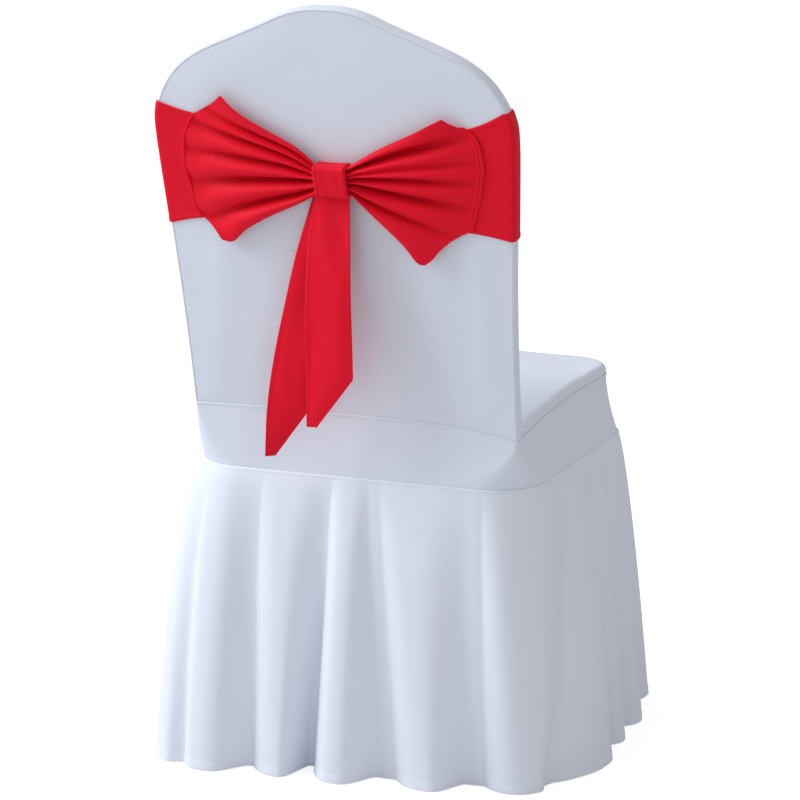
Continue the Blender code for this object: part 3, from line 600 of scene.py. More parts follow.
def gusset_section():
    """The strip across its width, rear to front: (beyond the seam line, out, turn, from the seam)."""
    half = []
    for share in spread(GUSSET_TURN_STEPS, 0.5)[1:]:
        turn = math.radians(90) * share
        half.append((turn, EDGE_ROUND * turn))
    half = [(0.0, 0.0), (0.12, 0.35)] + half
    middle = BACK_DEPTH - 2 * EDGE_ROUND
    rows = []
    for turn, run in half:
        beyond = CLOSE_GAP + (SEAM_GAP - CLOSE_GAP) * clamp(run) + EDGE_ROUND * math.sin(turn)
        lift = seam_bead(run, GUSSET_BEAD, PANEL_TURN)
        rows.append((turn, beyond, EDGE_ROUND * (math.cos(turn) - 1), lift))
    for step in range(1, GUSSET_MIDDLE_STEPS):
        out = -EDGE_ROUND - middle * step / GUSSET_MIDDLE_STEPS
        rows.append((math.pi / 2, SEAM_GAP + EDGE_ROUND, out, 0.0))
    for turn, run in reversed(half):
        beyond = CLOSE_GAP + (SEAM_GAP - CLOSE_GAP) * clamp(run) + EDGE_ROUND * math.sin(turn)
        out = -BACK_DEPTH - EDGE_ROUND * (math.cos(turn) - 1)
        rows.append((math.pi - turn, beyond, out, seam_bead(run, GUSSET_BEAD, PANEL_TURN)))
    return rows


def make_gusset(material):
    section = gusset_section()
    side_shares = spread(GUSSET_SIDE_STEPS, 0.3)[:-1]
    stations = [outline_side(1, share) for share in side_shares]
    stations += [outline_crown(share) for share in even(GUSSET_CROWN_STEPS)]
    stations += [outline_side(-1, share) for share in reversed(side_shares)]
    last = len(stations) - 1
    side_count = len(side_shares)

    def place(along, wide):
        column, row = round(along * last), round(wide * (len(section) - 1))
        turn, beyond, out, lift = section[row]
        before, after = stations[max(column - 1, 0)], stations[min(column + 1, last)]
        line = (after - before).normalized()
        way = Vector((line.y, -line.x))
        if column in (0, last):
            way = Vector((1.0 if column == 0 else -1.0, 0.0))
        spot = stations[column] + way * (beyond + lift * math.sin(turn))
        side = 1 if column < last / 2 else -1
        end_share = min(column, last - column) / side_count
        drop = corner_up(side, out) - corner_up(side, 0.0)
        blend = max(0.0, 1 - end_share / GUSSET_END)
        return on_back(spot.x, spot.y + drop * blend, out + lift * math.cos(turn))

    mesh = new_cloth(even(last), even(len(section) - 1), place, (1.28, 0.026))
    centre = on_back(0.0, 230.0, -BACK_DEPTH / 2)
    item = finish_sheet(
        "gusset_cloth", mesh, lambda point: point - centre, material, "white_cloth", "back_gusset"
    )


# Seat


def ring_point(ring, section, share):
    """A point of a rounded rectangle in plan, and the way out from it."""
    corners = (
        (-1, ring.rear - ring.rear_radius, ring.rear_radius),
        (-1, ring.front + ring.front_radius, ring.front_radius),
        (1, ring.front + ring.front_radius, ring.front_radius),
        (1, ring.rear - ring.rear_radius, ring.rear_radius),
    )

    def on_corner(index, turned):
        side, y, radius = corners[index % 4]
        angle = math.radians(90 * (index % 4 + 1 + turned))
        way = Vector((math.cos(angle), math.sin(angle)))
        return Vector((side * (ring.half_width - radius), y)) + way * radius, way

    if section % 2:
        return on_corner(section // 2, share)
    rear_middle = Vector((0.0, ring.rear))
    start = rear_middle if section == 0 else on_corner(section // 2 - 1, 1.0)[0]
    end = rear_middle if section == 8 else on_corner(section // 2, 0.0)[0]
    way = on_corner(section // 2 - 1, 1.0)[1] if section else on_corner(0, 0.0)[1]
    return start.lerp(end, share), way


def ring_lengths(ring):
    half_rear = ring.half_width - ring.rear_radius
    side = ring.rear - ring.front - ring.rear_radius - ring.front_radius
    rear_turn = math.radians(90) * ring.rear_radius
    front_turn = math.radians(90) * ring.front_radius
    front = 2 * (ring.half_width - ring.front_radius)
    return (half_rear, rear_turn, side, front_turn, front, front_turn, side, rear_turn, half_rear)


def ring_along(ring, along):
    """The point of a ring at a distance round it from the rear middle."""
    lengths = ring_lengths(ring)
    left = along % sum(lengths)
    for section, length in enumerate(lengths):
        if left <= length:
            break
        left -= length
    return ring_point(ring, section, min(left / length, 1.0))


BAND_SECTION_STEPS = (36, 14, 44, 22, 44, 22, 44, 14, 36)
BAND_STATIONS = [
    (section, step / steps) for section, steps in enumerate(BAND_SECTION_STEPS) for step in range(steps)
] + [(8, 1.0)]


def band_point(section, share, tall):
    top, way = ring_point(SEAT_RING, section, share)
    low, low_way = ring_point(SKIRT_RING, section, share)
    spot = top.lerp(low, (1 - tall) ** BAND_FLARE)
    height = rear_seam(top.x) if top.y > SEAT_RING.rear - 0.5 else seam_height(top.x, top.y)
    at_rear = clamp(1 - (SEAT_RING.rear - top.y) / SEAT_RING.rear_radius)
    y = spot.y + (height - LOWER_SEAM) * math.tan(LEAN) * at_rear * tall**3
    return Vector((spot.x, y, mix(SKIRT_SEAM + CLOSE_GAP, height, tall))), way.lerp(low_way, 1 - tall)


def make_seat_band(material):
    lengths = ring_lengths(SEAT_RING)
    starts = [sum(lengths[:index]) for index in range(9)]
    last = len(BAND_STATIONS) - 1

    def place(along, tall):
        section, share = BAND_STATIONS[round(along * last)]
        spot, way = band_point(section, share, tall)
        run = -(starts[section] + lengths[section] * share)
        if run < -sum(lengths) / 2:
            run += sum(lengths)
        height = spot.z - SKIRT_SEAM
        from_top = (1 - tall) * BAND_HEIGHT
        lift = seam_bead(from_top, BAND_BEAD, 0.1) + seam_bead(tall * BAND_HEIGHT, 0.0, 0.12)
        lift += crease_height(BAND_CREASES, run, height) * math.sin(math.pi * tall) ** 0.5
        return spot + way.to_3d().normalized() * lift

    mesh = new_cloth(even(last), spread(BAND_ROWS), place, (1.58, 0.078), close=True)
    item = finish_sheet("seat_band_cloth", mesh, from_axis, material, "white_cloth", "seat_band")


def inside_seat(x, y):
    """How far a point lies inside the seat's outline, measured to its sides and its front."""
    radius = SEAT_RING.front_radius
    beyond_x = abs(x) - (SEAT_RING.half_width - radius)
    beyond_y = (SEAT_RING.front + radius) - y
    if beyond_x > 0 and beyond_y > 0:
        return radius - math.hypot(beyond_x, beyond_y)
    return radius - max(beyond_x, beyond_y)


def seat_half_width(y):
    radius = SEAT_RING.front_radius
    beyond = max(SEAT_RING.front + radius - y, 0.0)
    return SEAT_RING.half_width - radius + math.sqrt(max(radius**2 - beyond**2, 0.0))


def seat_top(x, y):
    """Height of the seat panel: a rounded edge, a soft dome and a flat middle."""
    inset = max(inside_seat(x, y), 0.0)
    turned = min(inset / SEAT_ROUND, 1.0)
    rise = SEAT_ROUND * math.sqrt(1 - (1 - turned) ** 2)
    seam = mix(right_seam(y), left_seam(y), (x / SEAT_RING.half_width + 1) / 2)
    reach = max(math.hypot(x, y) - SEAT_FLAT, 0.0) / (SEAT_RING.half_width - SEAT_FLAT)
    dome = SEAT_DOME * max(0.0, 1 - reach**2)
    seam = mix(SEAT_FLAT_SEAM, seam, min(reach * SEAT_BLEND, 1.0))
    creases = crease_height(SEAT_CREASES, x, y) * clamp(inset / 20)
    return seam + SEAM_GAP + SEAT_LIP + rise + dome + creases


def make_seat_panel(material):
    front = [SEAT_RING.front + inset for inset in SEAT_INSETS]
    rear = REAR_FACE - BACK_DEPTH * math.cos(LEAN) - 2 * SEAM_GAP
    rows = front + [mix(front[-1], rear, share) for share in even(SEAT_INNER_ROWS)[1:]]
    columns = []
    for y in rows:
        edge = seat_half_width(y)
        left = [edge - inset for inset in SEAT_INSETS]
        inner = [mix(left[-1], -left[-1], share) for share in even(SEAT_INNER_COLUMNS)[1:-1]]
        columns.append(left + inner + [-place for place in reversed(left)])
    last_row, last_column = len(rows) - 1, len(columns[0]) - 1

    def place(side, tall):
        row, column = round(tall * last_row), round(side * last_column)
        x, y = columns[row][last_column - column], rows[row]
        height = seat_top(x, y)
        if row == last_row:
            up = up_at_height(height - WHITE_CLOTH, -BACK_DEPTH)
            y = on_back(x, up, -BACK_DEPTH - puff(x, up, FRONT_PUFF)).y - 0.2
        return Vector((x, y, height))

    mesh = new_cloth(even(last_column), even(last_row), place, (0.41, 0.37))
    rear_y = max(vert.co.y for vert in mesh.verts) - 8.0
    hanging = []
    for edge in mesh.edges:
        one, other = (vert.co for vert in edge.verts)
        wide = max(abs(one.x), abs(other.x))
        at_rear = min(one.y, other.y) > rear_y and wide < SEAT_RING.half_width + 1
        at_rear = at_rear and abs(one.y - other.y) < 2.0
        if edge.is_boundary and not at_rear:
            hanging.append(edge)
    for share in (0.5, 1.0):
        lip = bmesh.ops.extrude_edge_only(mesh, edges=hanging)
        for part in lip["geom"]:
            if isinstance(part, bmesh.types.BMVert):
                part.co.z = mix(part.co.z, seam_height(part.co.x, part.co.y) + SEAM_GAP, share)
        edges = [part for part in lip["geom"] if isinstance(part, bmesh.types.BMEdge) and part.is_boundary]
        hanging = [edge for edge in edges if all(vert in lip["geom"] for vert in edge.verts)]
    for face in mesh.faces:
        face.smooth = True
    item = finish_sheet(
        "seat_panel_cloth", mesh, lambda point: Vector((0, 0, 1)), material, "white_cloth", "seat_panel"
    )


# Skirt


def fold_lines():
    """Ridges and valleys in turn, once round and one more: (place at the seam, at the hem, out, shape)."""
    lines = []
    for fold, after in zip(FOLDS, FOLDS[1:] + FOLDS[:1]):
        lines.append((fold.ridge_seam, fold.ridge_hem, fold.ridge_out, fold.hold))
        lines.append((fold.valley_seam, fold.valley_hem, fold.valley_out, after.rise))
    once_round = sum(ring_lengths(SKIRT_RING))
    first = lines[0]
    lines.append((first[0] + once_round, first[1] + once_round, first[2], first[3]))
    return lines


FOLD_LINES = fold_lines()


def common_flare(index):
    """How far out the skirt stands round one ridge or valley, without the fold itself."""
    count = len(FOLD_LINES) - 1
    outs = [FOLD_LINES[(index + step) % count][2] for step in (-1, 0, 0, 1)]
    return sum(outs) / len(outs)


def half_turn(share):
    """A soft step from 0 to 1."""
    return (1 - math.cos(math.pi * clamp(share))) / 2


def fold_share(index, share):
    """How far the cloth has come from one fold line's depth to the next one's."""
    shape = FOLD_LINES[index][3]
    if index % 2:
        return 1 - (1 - clamp((share - shape) / (1 - shape))) ** FOLD_FOOT
    return half_turn(share**shape)


def skirt_point(fold_place, fall):
    """A point of the skirt and the way out from it; fall is 0 at the seam and 1 at the hem."""
    index = min(int(fold_place), len(FOLD_LINES) - 2)
    share = fold_place - index
    start, end = FOLD_LINES[index], FOLD_LINES[index + 1]
    along = mix(mix(start[0], end[0], share), mix(start[1], end[1], share), fall)
    flare = mix(common_flare(index), common_flare(index + 1), share)
    hem_out = mix(start[2], end[2], fold_share(index, share))
    out = flare * fall**FLARE_CURVE + (hem_out - flare) * fall**FOLD_CURVE
    spot, way = ring_along(SKIRT_RING, along)
    spot = spot + way * out
    return Vector((spot.x, spot.y, mix(SKIRT_SEAM, 0.0, fall))), way


def hem_rows(height, hem, count):
    """Shares from a hem's edge at 0 up to a seam at 1, close at both."""
    low = [0.0, 0.4, 1.0, hem - 1.4, hem - 0.5, hem + 0.5, hem + 1.6]
    high = [6.0, 4.4, 3.2, 2.2, 1.3, 0.6, 0.0]
    start, end = low[-1], height - high[0]
    inner = [mix(start, end, step / count) for step in range(1, count)]
    return [place / height for place in low + inner + [height - inset for inset in high]]


def make_skirt(material):
    last = len(FOLD_LINES) - 1

    def place(along, tall):
        spot, way = skirt_point(along * last, 1 - tall)
        from_hem = tall * SKIRT_SEAM
        lift = seam_bead((1 - tall) * SKIRT_SEAM, SKIRT_BEAD, 0.1)
        lift += 0.5 * soft_step(HEM - from_hem)
        return spot + way.to_3d() * lift

    rows = hem_rows(SKIRT_SEAM, HEM, SKIRT_ROWS)
    mesh = new_cloth(even(FOLD_COLUMNS * last), rows, place, (2.3, 0.37), close=True)
    item = finish_sheet(
        "skirt_cloth", mesh, from_axis, material, "white_cloth", "skirt"
    )


# Sash


def bow_seam_across(tall):
    return BOW_SEAM_END + BOW_SEAM_BULGE * math.sin(math.pi * clamp(tall)) ** BOW_SEAM_CURVE


def half_sash_section(end, tall):
    """Half of one level of the band: (across, out, up) from the bow seam to the middle of the front."""
    seam = bow_seam_across(tall)
    up = mix(end.bottom_at_side, end.top_at_side, tall)
    wide = half_width(up) + SEAM_GAP
    up_bow = mix(end.bottom_at_bow, end.top_at_bow, tall)
    up_front = mix(SASH_BOTTOM, SASH_TOP, tall)
    corner = EDGE_ROUND + SASH_RISE
    front = -BACK_DEPTH + EDGE_ROUND
    points = []
    for step in range(SASH_REAR_STEPS):
        share = step / SASH_REAR_STEPS
        across = mix(seam, wide, share)
        out = SASH_RISE + puff(across, up, REAR_PUFF)
        points.append((across, out, mix(up_bow, up, share**SASH_BULGE)))
    for step in range(SASH_CORNER_STEPS + 1):
        turn = math.radians(90) * step / SASH_CORNER_STEPS
        points.append((wide + corner * math.sin(turn), corner * math.cos(turn) - EDGE_ROUND, up))
    points.append((wide + corner, -BACK_DEPTH / 2, up))
    for step in range(SASH_CORNER_STEPS + 1):
        turn = math.radians(90) * step / SASH_CORNER_STEPS
        points.append((wide + corner * math.cos(turn), front - corner * math.sin(turn), up))
    for step in range(1, SASH_FRONT_STEPS + 1):
        across = wide * (1 - step / SASH_FRONT_STEPS)
        level = mix(up, up_front, half_turn(step / SASH_FRONT_STEPS))
        points.append((across, -BACK_DEPTH - SASH_RISE - puff(across, level, FRONT_PUFF), level))
    return points


def sash_section(tall):
    """One level of the band, from one bow seam round the front to the other."""
    left = half_sash_section(LEFT_BAND, tall)
    right = half_sash_section(RIGHT_BAND, tall)
    return left + [(-across, out, up) for across, out, up in reversed(right[:-1])]


def make_sash_band(material):
    height = SASH_TOP - SASH_BOTTOM
    low = hem_rows(height, SASH_HEM, SASH_ROWS)
    rows = [share for share in low if share < 0.5] + [1 - share for share in low if share <= 0.5]
    rows = sorted(set(round(share, 5) for share in rows))
    sections = {tall: sash_section(tall) for tall in rows}
    last = len(sections[rows[0]]) - 1

    def place(along, tall):
        across, out, up = sections[tall][last - round(along * last)]
        from_edge = min(tall, 1 - tall) * height
        lift = SASH_HEM_RISE * soft_step(SASH_HEM - from_edge)
        lift -= SASH_EDGE_DROP * (1 - clamp(from_edge / TURN_IN)) ** 2
        beyond = abs(across) - half_width(up) - SEAM_GAP
        if beyond > 0:
            turned = clamp(beyond / (EDGE_ROUND + SASH_RISE))
            across += math.copysign(lift * turned, across)
        rear = 1 if out > -BACK_DEPTH / 2 else -1
        return on_back(across, up, out + rear * lift * (1 - clamp(beyond / 8)))

    mesh = new_cloth(even(last), rows, place, (0.62, 0.146))
    centre = on_back(0.0, 306.0, -BACK_DEPTH / 2)
    item = finish_sheet(
        "sash_band_cloth", mesh, lambda point: point - centre, material, "red_cloth", "sash_band"
    )


def pleat_height(pleats, tall, to_knot):
    """Height of the pleats at a place: broad round ridges and sharp valleys."""
    places = [mix(pleat.side, pleat.knot, to_knot) for pleat in pleats]
    index = clamp(bisect.bisect_left(places, tall), 1, len(places) - 1)
    share = clamp((tall - places[index - 1]) / (places[index] - places[index - 1]))
    near = pleats[index - 1 : index + 1]
    start, end = (mix(pleat.side_height, pleat.knot_height, to_knot) for pleat in near)
    if start > end:
        start, end, share = end, start, 1 - share
    return mix(start, end, math.sin(math.pi / 2 * share) ** VALLEY_SHARPNESS)


def make_wing(node, side_rows, top_rows, bottom_rows, pleats, material):
    """A fan from the sewn outer side to the knot, with pleats that deepen towards the knot, and a share of
    painted shade for its valleys kept on the cloth.
    """
    side = curve_reader(smooth_curve(side_rows))
    top = curve_reader(smooth_curve(top_rows))
    bottom = curve_reader(smooth_curve(bottom_rows))
    low_knot, high_knot = bottom(1.0), top(1.0)
    painted_valley_shades = []

    def place(to_knot, tall):
        far = low_knot.lerp(high_knot, tall)
        spot = side(tall).lerp(far, to_knot) + bottom(to_knot).lerp(top(to_knot), tall)
        spot = spot - side(0.0).lerp(side(1.0), tall).lerp(far, to_knot)
        gather = mix(PLEAT_AT_SEAM, 1.0, clamp(to_knot / GATHER_REACH) ** GATHER_CURVE)
        height = pleat_height(pleats, tall, to_knot)
        # Painted shade: a share that darkens the cloth's colour in the pleats' valleys, fuller where the
        # pleats gather
        painted_valley_shades.append(soft_step((PAINTED_SHADE_START - height) / PAINTED_SHADE_SPAN) * gather)
        gather *= mix(1.0, PLEAT_AT_KNOT, soft_step((to_knot - PLEAT_CLOSE) / (1 - PLEAT_CLOSE)))
        pleat = height * PLEAT_DEPTH * gather
        billow = WING_BILLOW * math.sin(math.pi * to_knot) * math.sin(math.pi * tall)
        from_edge = clamp(min(tall, 1 - tall) / WING_EDGE_SHARE)
        edge = WING_EDGE_DROP * (1 - from_edge) ** 2 * (1 - to_knot)
        return on_back(spot.x, spot.y, spot.z + pleat + billow - edge)

    mesh = new_cloth(even(WING_COLUMNS), spread(WING_ROWS, 0.3), place, (0.17, 0.17))
    # Keeps each point's painted shade share as an attribute that the wings' material reads
    painted_shade_mask = mesh.verts.layers.float.new("valley")
    for vert, valley in zip(mesh.verts, painted_valley_shades):
        vert[painted_shade_mask] = valley
    item = finish_sheet(node + "_cloth", mesh, lambda point: TO_REAR, material, "red_cloth", node)


def make_seam_roll(name, side_rows, first, last, aside, half_wide, half_high, material):
    """A raised seam along the sewn side of a wing: a roll with a half width and a half height."""
    side = curve_reader(smooth_curve(side_rows))

    def place(along, round_share):
        spot = side(mix(first, last, along))
        turn = 2 * math.pi * round_share
        full = (1 - (2 * along - 1) ** ROLL_END) ** 0.5
        uneven = 1 + 0.12 * math.sin(along * 23) + 0.07 * math.sin(along * 41 + 1)
        across = spot.x + aside * full + half_wide * uneven * full * math.cos(turn)
        return on_back(across, spot.y, spot.z + half_high * full * math.sin(turn))

    mesh = new_cloth(even(ROLL_STEPS), even(ROLL_SIDES), place, (0.15, 0.01), close=True)
    bmesh.ops.recalc_face_normals(mesh, faces=mesh.faces)
    return finish_piece(name, mesh, material)


def knot_section():
    """The wrap seen from its open end: (up, out) points all round a rounded rectangle."""
    ring = Ring(KNOT_TALL / 2, KNOT_DEEP / 2, -KNOT_DEEP / 2, KNOT_ROUND, KNOT_ROUND)
    points = []
    for section in range(9):
        steps = KNOT_CORNER_STEPS if section % 2 else KNOT_SIDE_STEPS
        for step in range(steps):
            points.append(ring_point(ring, section, step / steps)[0])
    points.append(points[0].copy())
    return points


def make_knot(material):
    section = knot_section()
    last = len(section) - 1

    def place(round_share, along):
        spot = section[round(round_share * last)]
        waist = KNOT_WAIST * math.sin(math.pi * along)
        from_end = min(along, 1 - along) * KNOT_LENGTH
        turned = 1 - clamp(from_end / KNOT_TURN)
        lift = KNOT_HEM_RISE * soft_step((KNOT_HEM - from_end) / 1.5)
        lift -= KNOT_TURN_DEPTH * (1 - math.sqrt(1 - turned**2))
        across = KNOT_LENGTH * (along - 0.5)
        lean = KNOT_LEAN * math.sin(spot.x / KNOT_TALL * 3.0)
        if spot.y > KNOT_REAR:
            lift += crease_height(KNOT_CREASES, across, spot.x)
        scale_up = 1 + (lift - waist) / (KNOT_TALL / 2)
        scale_out = 1 + (lift - waist) / (KNOT_DEEP / 2)
        up = KNOT_UP + spot.x * scale_up
        return on_back(KNOT_ACROSS + across + lean, up, KNOT_OUT + spot.y * scale_out)

    mesh = new_cloth(even(last), spread(KNOT_ROWS), place, (0.13, 0.041), close=True)
    centre = on_back(KNOT_ACROSS, KNOT_UP, KNOT_OUT)
    item = finish_sheet(
        "bow_knot_cloth", mesh, lambda point: point - centre, material, "red_cloth", "bow_knot"
    )


def make_tail(node, rows, out, tilt, creases, material, flat):
    """A tail that hangs plumb from the knot's lower side and ends in a slant and a blunt point."""
    knot_bottom = on_back(0.0, KNOT_UP - KNOT_TALL / 2 - SEAM_GAP, out)
    left = curve_reader(smooth_curve([(row.drop, row.left, row.out) for row in rows]))
    right_line = [(row.drop, row.right, row.out) for row in rows]
    right_points = smooth_curve(right_line[:-1])
    right_points.append(Vector(right_line[-1]))
    right = curve_reader(right_points)

    def place(side, tall):
        fall = 1 - tall
        spot = left(fall).lerp(right(fall), side)
        cup = TAIL_CUP * math.sin(math.pi * side) * min(fall * TAIL_REACH, 1.0) * (1 - fall**3)
        from_side = min(side, 1 - side) * TAIL_WIDTH
        hem = 0.35 * soft_step(TAIL_HEM - from_side) - 0.5 * (1 - clamp(from_side)) ** 2
        wave = TAIL_WAVE * math.sin(side * 6.5 + spot.x / 60) * math.sin(math.pi * fall)
        turned = tilt * (0.5 - side) * soft_step(fall * TAIL_REACH)
        turned += crease_height(creases, side * TAIL_WIDTH, spot.x) * clamp(from_side / 6)
        y = knot_bottom.y + spot.z + cup + hem + wave + turned
        return Vector((spot.y, y, knot_bottom.z - spot.x))

    mesh = new_cloth(spread(TAIL_COLUMNS, 0.8), spread(TAIL_ROWS, 0.3), place, flat)
    item = finish_sheet(node + "_cloth", mesh, lambda point: Vector((0, 1, 0)), material, "red_cloth", node)


# Materials

FULL_TURN = 6.28318
STITCH_WIDTH = 0.0006
STITCH_DEPTH = 0.00035
KNIT_DEPTH = 0.00005


def new_group(name, inputs, outputs):
    """A node group with its sockets, (name, kind, value) or (name, kind), and its maths maker."""
    group = bpy.data.node_groups.new(name, "ShaderNodeTree")
    for label, kind, value in inputs:
        socket = group.interface.new_socket(label, in_out="INPUT", socket_type=kind)
        socket.default_value = value
    for label, kind in outputs:
        group.interface.new_socket(label, in_out="OUTPUT", socket_type=kind)
    start = group.nodes.new("NodeGroupInput")
    end = group.nodes.new("NodeGroupOutput")
    return group, start, end, partial(add_math, group)


def add_math(tree, kind, first, second=None):
    node = tree.nodes.new("ShaderNodeMath")
    node.operation = kind
    for index, value in enumerate((first, second)):
        if value is None:
            continue
        if isinstance(value, (int, float)):
            node.inputs[index].default_value = value
        else:
            tree.links.new(value, node.inputs[index])
    return node.outputs[0]


def set_values(node, values):
    for label, value in values.items():
        node.inputs[label].default_value = value


def knit_group():
    """Fine knit: wales that run up the cloth and courses across them, as a height from 0 to 1."""
    group, start, end, maths = new_group(
        "fine_knit",
        [("Layout", "NodeSocketVector", (0.0, 0.0, 0.0)), ("Wale", "NodeSocketFloat", 0.0009)],
        [("Height", "NodeSocketFloat")],
    )
    split = group.nodes.new("ShaderNodeSeparateXYZ")
    group.links.new(start.outputs["Layout"], split.inputs[0])
    per_wale = maths("DIVIDE", FULL_TURN, start.outputs["Wale"])
    wale = maths("SINE", maths("MULTIPLY", split.outputs["X"], per_wale))
    slant = maths("MULTIPLY", maths("ABSOLUTE", wale), 1.2)
    course = maths("MULTIPLY", maths("MULTIPLY", split.outputs["Y"], per_wale), 0.8)
    loops = maths("SINE", maths("ADD", course, slant))
    total = maths("ADD", maths("MULTIPLY", wale, 0.3), maths("MULTIPLY", loops, 0.2))
    group.links.new(maths("ADD", total, 0.5), end.inputs["Height"])
    return group


def tone_group():
    """Uneven tone: slow patches over the cloth and fine flecks, between two colours, then painted shade
    that mixes towards a darker colour by a share from the pleats' valleys.
    """
    group, start, end, maths = new_group(
        "cloth_tone",
        [
            ("Place", "NodeSocketVector", (0.0, 0.0, 0.0)),
            ("Colour", "NodeSocketColor", (1.0, 1.0, 1.0, 1.0)),
            ("Deep Colour", "NodeSocketColor", (1.0, 1.0, 1.0, 1.0)),
            ("Valley", "NodeSocketFloat", 0.0),
            ("Painted Shade Colour", "NodeSocketColor", (1.0, 1.0, 1.0, 1.0)),
            ("Roughness", "NodeSocketFloat", 0.8),
        ],
        [("Colour", "NodeSocketColor"), ("Roughness", "NodeSocketFloat")],
    )
    patches = group.nodes.new("ShaderNodeTexNoise")
    set_values(patches, {"Scale": 7.0, "Detail": 2.0})
    flecks = group.nodes.new("ShaderNodeTexNoise")
    set_values(flecks, {"Scale": 420.0, "Detail": 1.0})
    for node in (patches, flecks):
        group.links.new(start.outputs["Place"], node.inputs["Vector"])
    share = add_math(
        group,
        "ADD",
        maths("MULTIPLY", patches.outputs["Fac"], 0.75),
        maths("MULTIPLY", flecks.outputs["Fac"], 0.25),
    )
    blend = group.nodes.new("ShaderNodeMix")
    blend.data_type = "RGBA"
    group.links.new(share, blend.inputs["Factor"])
    group.links.new(start.outputs["Deep Colour"], blend.inputs["A"])
    group.links.new(start.outputs["Colour"], blend.inputs["B"])
    # Painted shade: mixes the colour towards a darker one in the pleats' valleys
    painted_shade_mix = group.nodes.new("ShaderNodeMix")
    painted_shade_mix.data_type = "RGBA"
    group.links.new(start.outputs["Valley"], painted_shade_mix.inputs["Factor"])
    group.links.new(blend.outputs["Result"], painted_shade_mix.inputs["A"])
    group.links.new(start.outputs["Painted Shade Colour"], painted_shade_mix.inputs["B"])
    group.links.new(painted_shade_mix.outputs["Result"], end.inputs["Colour"])
    change = maths("MULTIPLY", maths("SUBTRACT", share, 0.5), 0.12)
    group.links.new(maths("ADD", start.outputs["Roughness"], change), end.inputs["Roughness"])
    return group


def stitch_group():
    """One row of stitches: dips a set distance from an edge, as a height from -1 to 0."""
    group, start, end, maths = new_group(
        "stitch_row",
        [
            ("Along", "NodeSocketFloat", 0.0),
            ("From Edge", "NodeSocketFloat", 0.0),
            ("Place", "NodeSocketFloat", 0.01),
            ("Stitch", "NodeSocketFloat", 0.003),
        ],
        [("Height", "NodeSocketFloat")],
    )
    aside = maths("SUBTRACT", start.outputs["From Edge"], start.outputs["Place"])
    aside = maths("ABSOLUTE", aside)
    beyond = maths("MINIMUM", maths("DIVIDE", aside, STITCH_WIDTH), 1.0)
    line = maths("SUBTRACT", 1.0, beyond)
    per_stitch = maths("DIVIDE", FULL_TURN, start.outputs["Stitch"])
    wave = maths("SINE", maths("MULTIPLY", start.outputs["Along"], per_stitch))
    dash = maths("ADD", maths("MULTIPLY", wave, 0.35), 0.65)
    group.links.new(maths("MULTIPLY", maths("MULTIPLY", line, dash), -1.0), end.inputs["Height"])
    return group


KNIT = knit_group()
TONE = tone_group()
STITCH = stitch_group()


def new_cloth_material(
    name, colour, deep, roughness, sheen, specular, stitch_place=None, height=None, valley=None
):
    """Knitted cloth with uneven tone; stitch rows lie at stitch_place from the layout's two long edges. A
    valley colour, when given, is painted shade mixed into the pleats' valleys.
    """
    material = bpy.data.materials.new(name)
    material.use_nodes = True
    tree = material.node_tree
    shader = tree.nodes["Principled BSDF"]
    maths = partial(add_math, tree)
    set_values(shader, {"Sheen Weight": sheen, "Sheen Roughness": 0.45, "Sheen Tint": (*colour, 1.0)})
    set_values(shader, {"Specular IOR Level": specular})
    places = tree.nodes.new("ShaderNodeTexCoord")
    tone = tree.nodes.new("ShaderNodeGroup")
    tone.node_tree = TONE
    tree.links.new(places.outputs["Object"], tone.inputs["Place"])
    set_values(tone, {"Colour": (*colour, 1.0), "Deep Colour": (*deep, 1.0), "Roughness": roughness})
    # Painted shade: the pleats' valleys take a darker colour by the wing's attribute
    if valley:
        painted_shade_mask = tree.nodes.new("ShaderNodeAttribute")
        painted_shade_mask.attribute_name = "valley"
        tree.links.new(painted_shade_mask.outputs["Fac"], tone.inputs["Valley"])
        tone.inputs["Painted Shade Colour"].default_value = (*valley, 1.0)
    tree.links.new(tone.outputs["Colour"], shader.inputs["Base Color"])
    tree.links.new(tone.outputs["Roughness"], shader.inputs["Roughness"])
    knit = tree.nodes.new("ShaderNodeGroup")
    knit.node_tree = KNIT
    tree.links.new(places.outputs["UV"], knit.inputs["Layout"])
    total = maths("MULTIPLY", knit.outputs["Height"], KNIT_DEPTH)
    if stitch_place:
        split = tree.nodes.new("ShaderNodeSeparateXYZ")
        tree.links.new(places.outputs["UV"], split.inputs[0])
        edges = [split.outputs["Y"]]
        if height:
            edges.append(maths("SUBTRACT", height, split.outputs["Y"]))
        for edge in edges:
            stitch = tree.nodes.new("ShaderNodeGroup")
            stitch.node_tree = STITCH
            stitch.inputs["Place"].default_value = stitch_place
            tree.links.new(split.outputs["X"], stitch.inputs["Along"])
            tree.links.new(edge, stitch.inputs["From Edge"])
            dips = maths("MULTIPLY", stitch.outputs["Height"], STITCH_DEPTH)
            total = maths("ADD", total, dips)
    bump = tree.nodes.new("ShaderNodeBump")
    set_values(bump, {"Strength": 0.6, "Distance": 1.0})
    tree.links.new(total, bump.inputs["Height"])
    tree.links.new(bump.outputs["Normal"], shader.inputs["Normal"])
    return material


WHITE = (0.78, 0.82, 0.92)
WHITE_DEEP = (0.74, 0.78, 0.89)
# Painted light: the skirt is the same white cloth, painted a little lighter than elsewhere to stand in for
# more light on it
SKIRT_WHITE_PAINTED_LIGHTER = (0.815, 0.855, 0.95)
SKIRT_WHITE_DEEP_PAINTED_LIGHTER = (0.775, 0.815, 0.92)
RED = (0.86, 0.007, 0.03)
RED_DEEP = (0.79, 0.005, 0.022)
# Painted shade: the darker red painted into the wings' pleat valleys
RED_PAINTED_VALLEY_SHADE = (0.56, 0.001, 0.009)


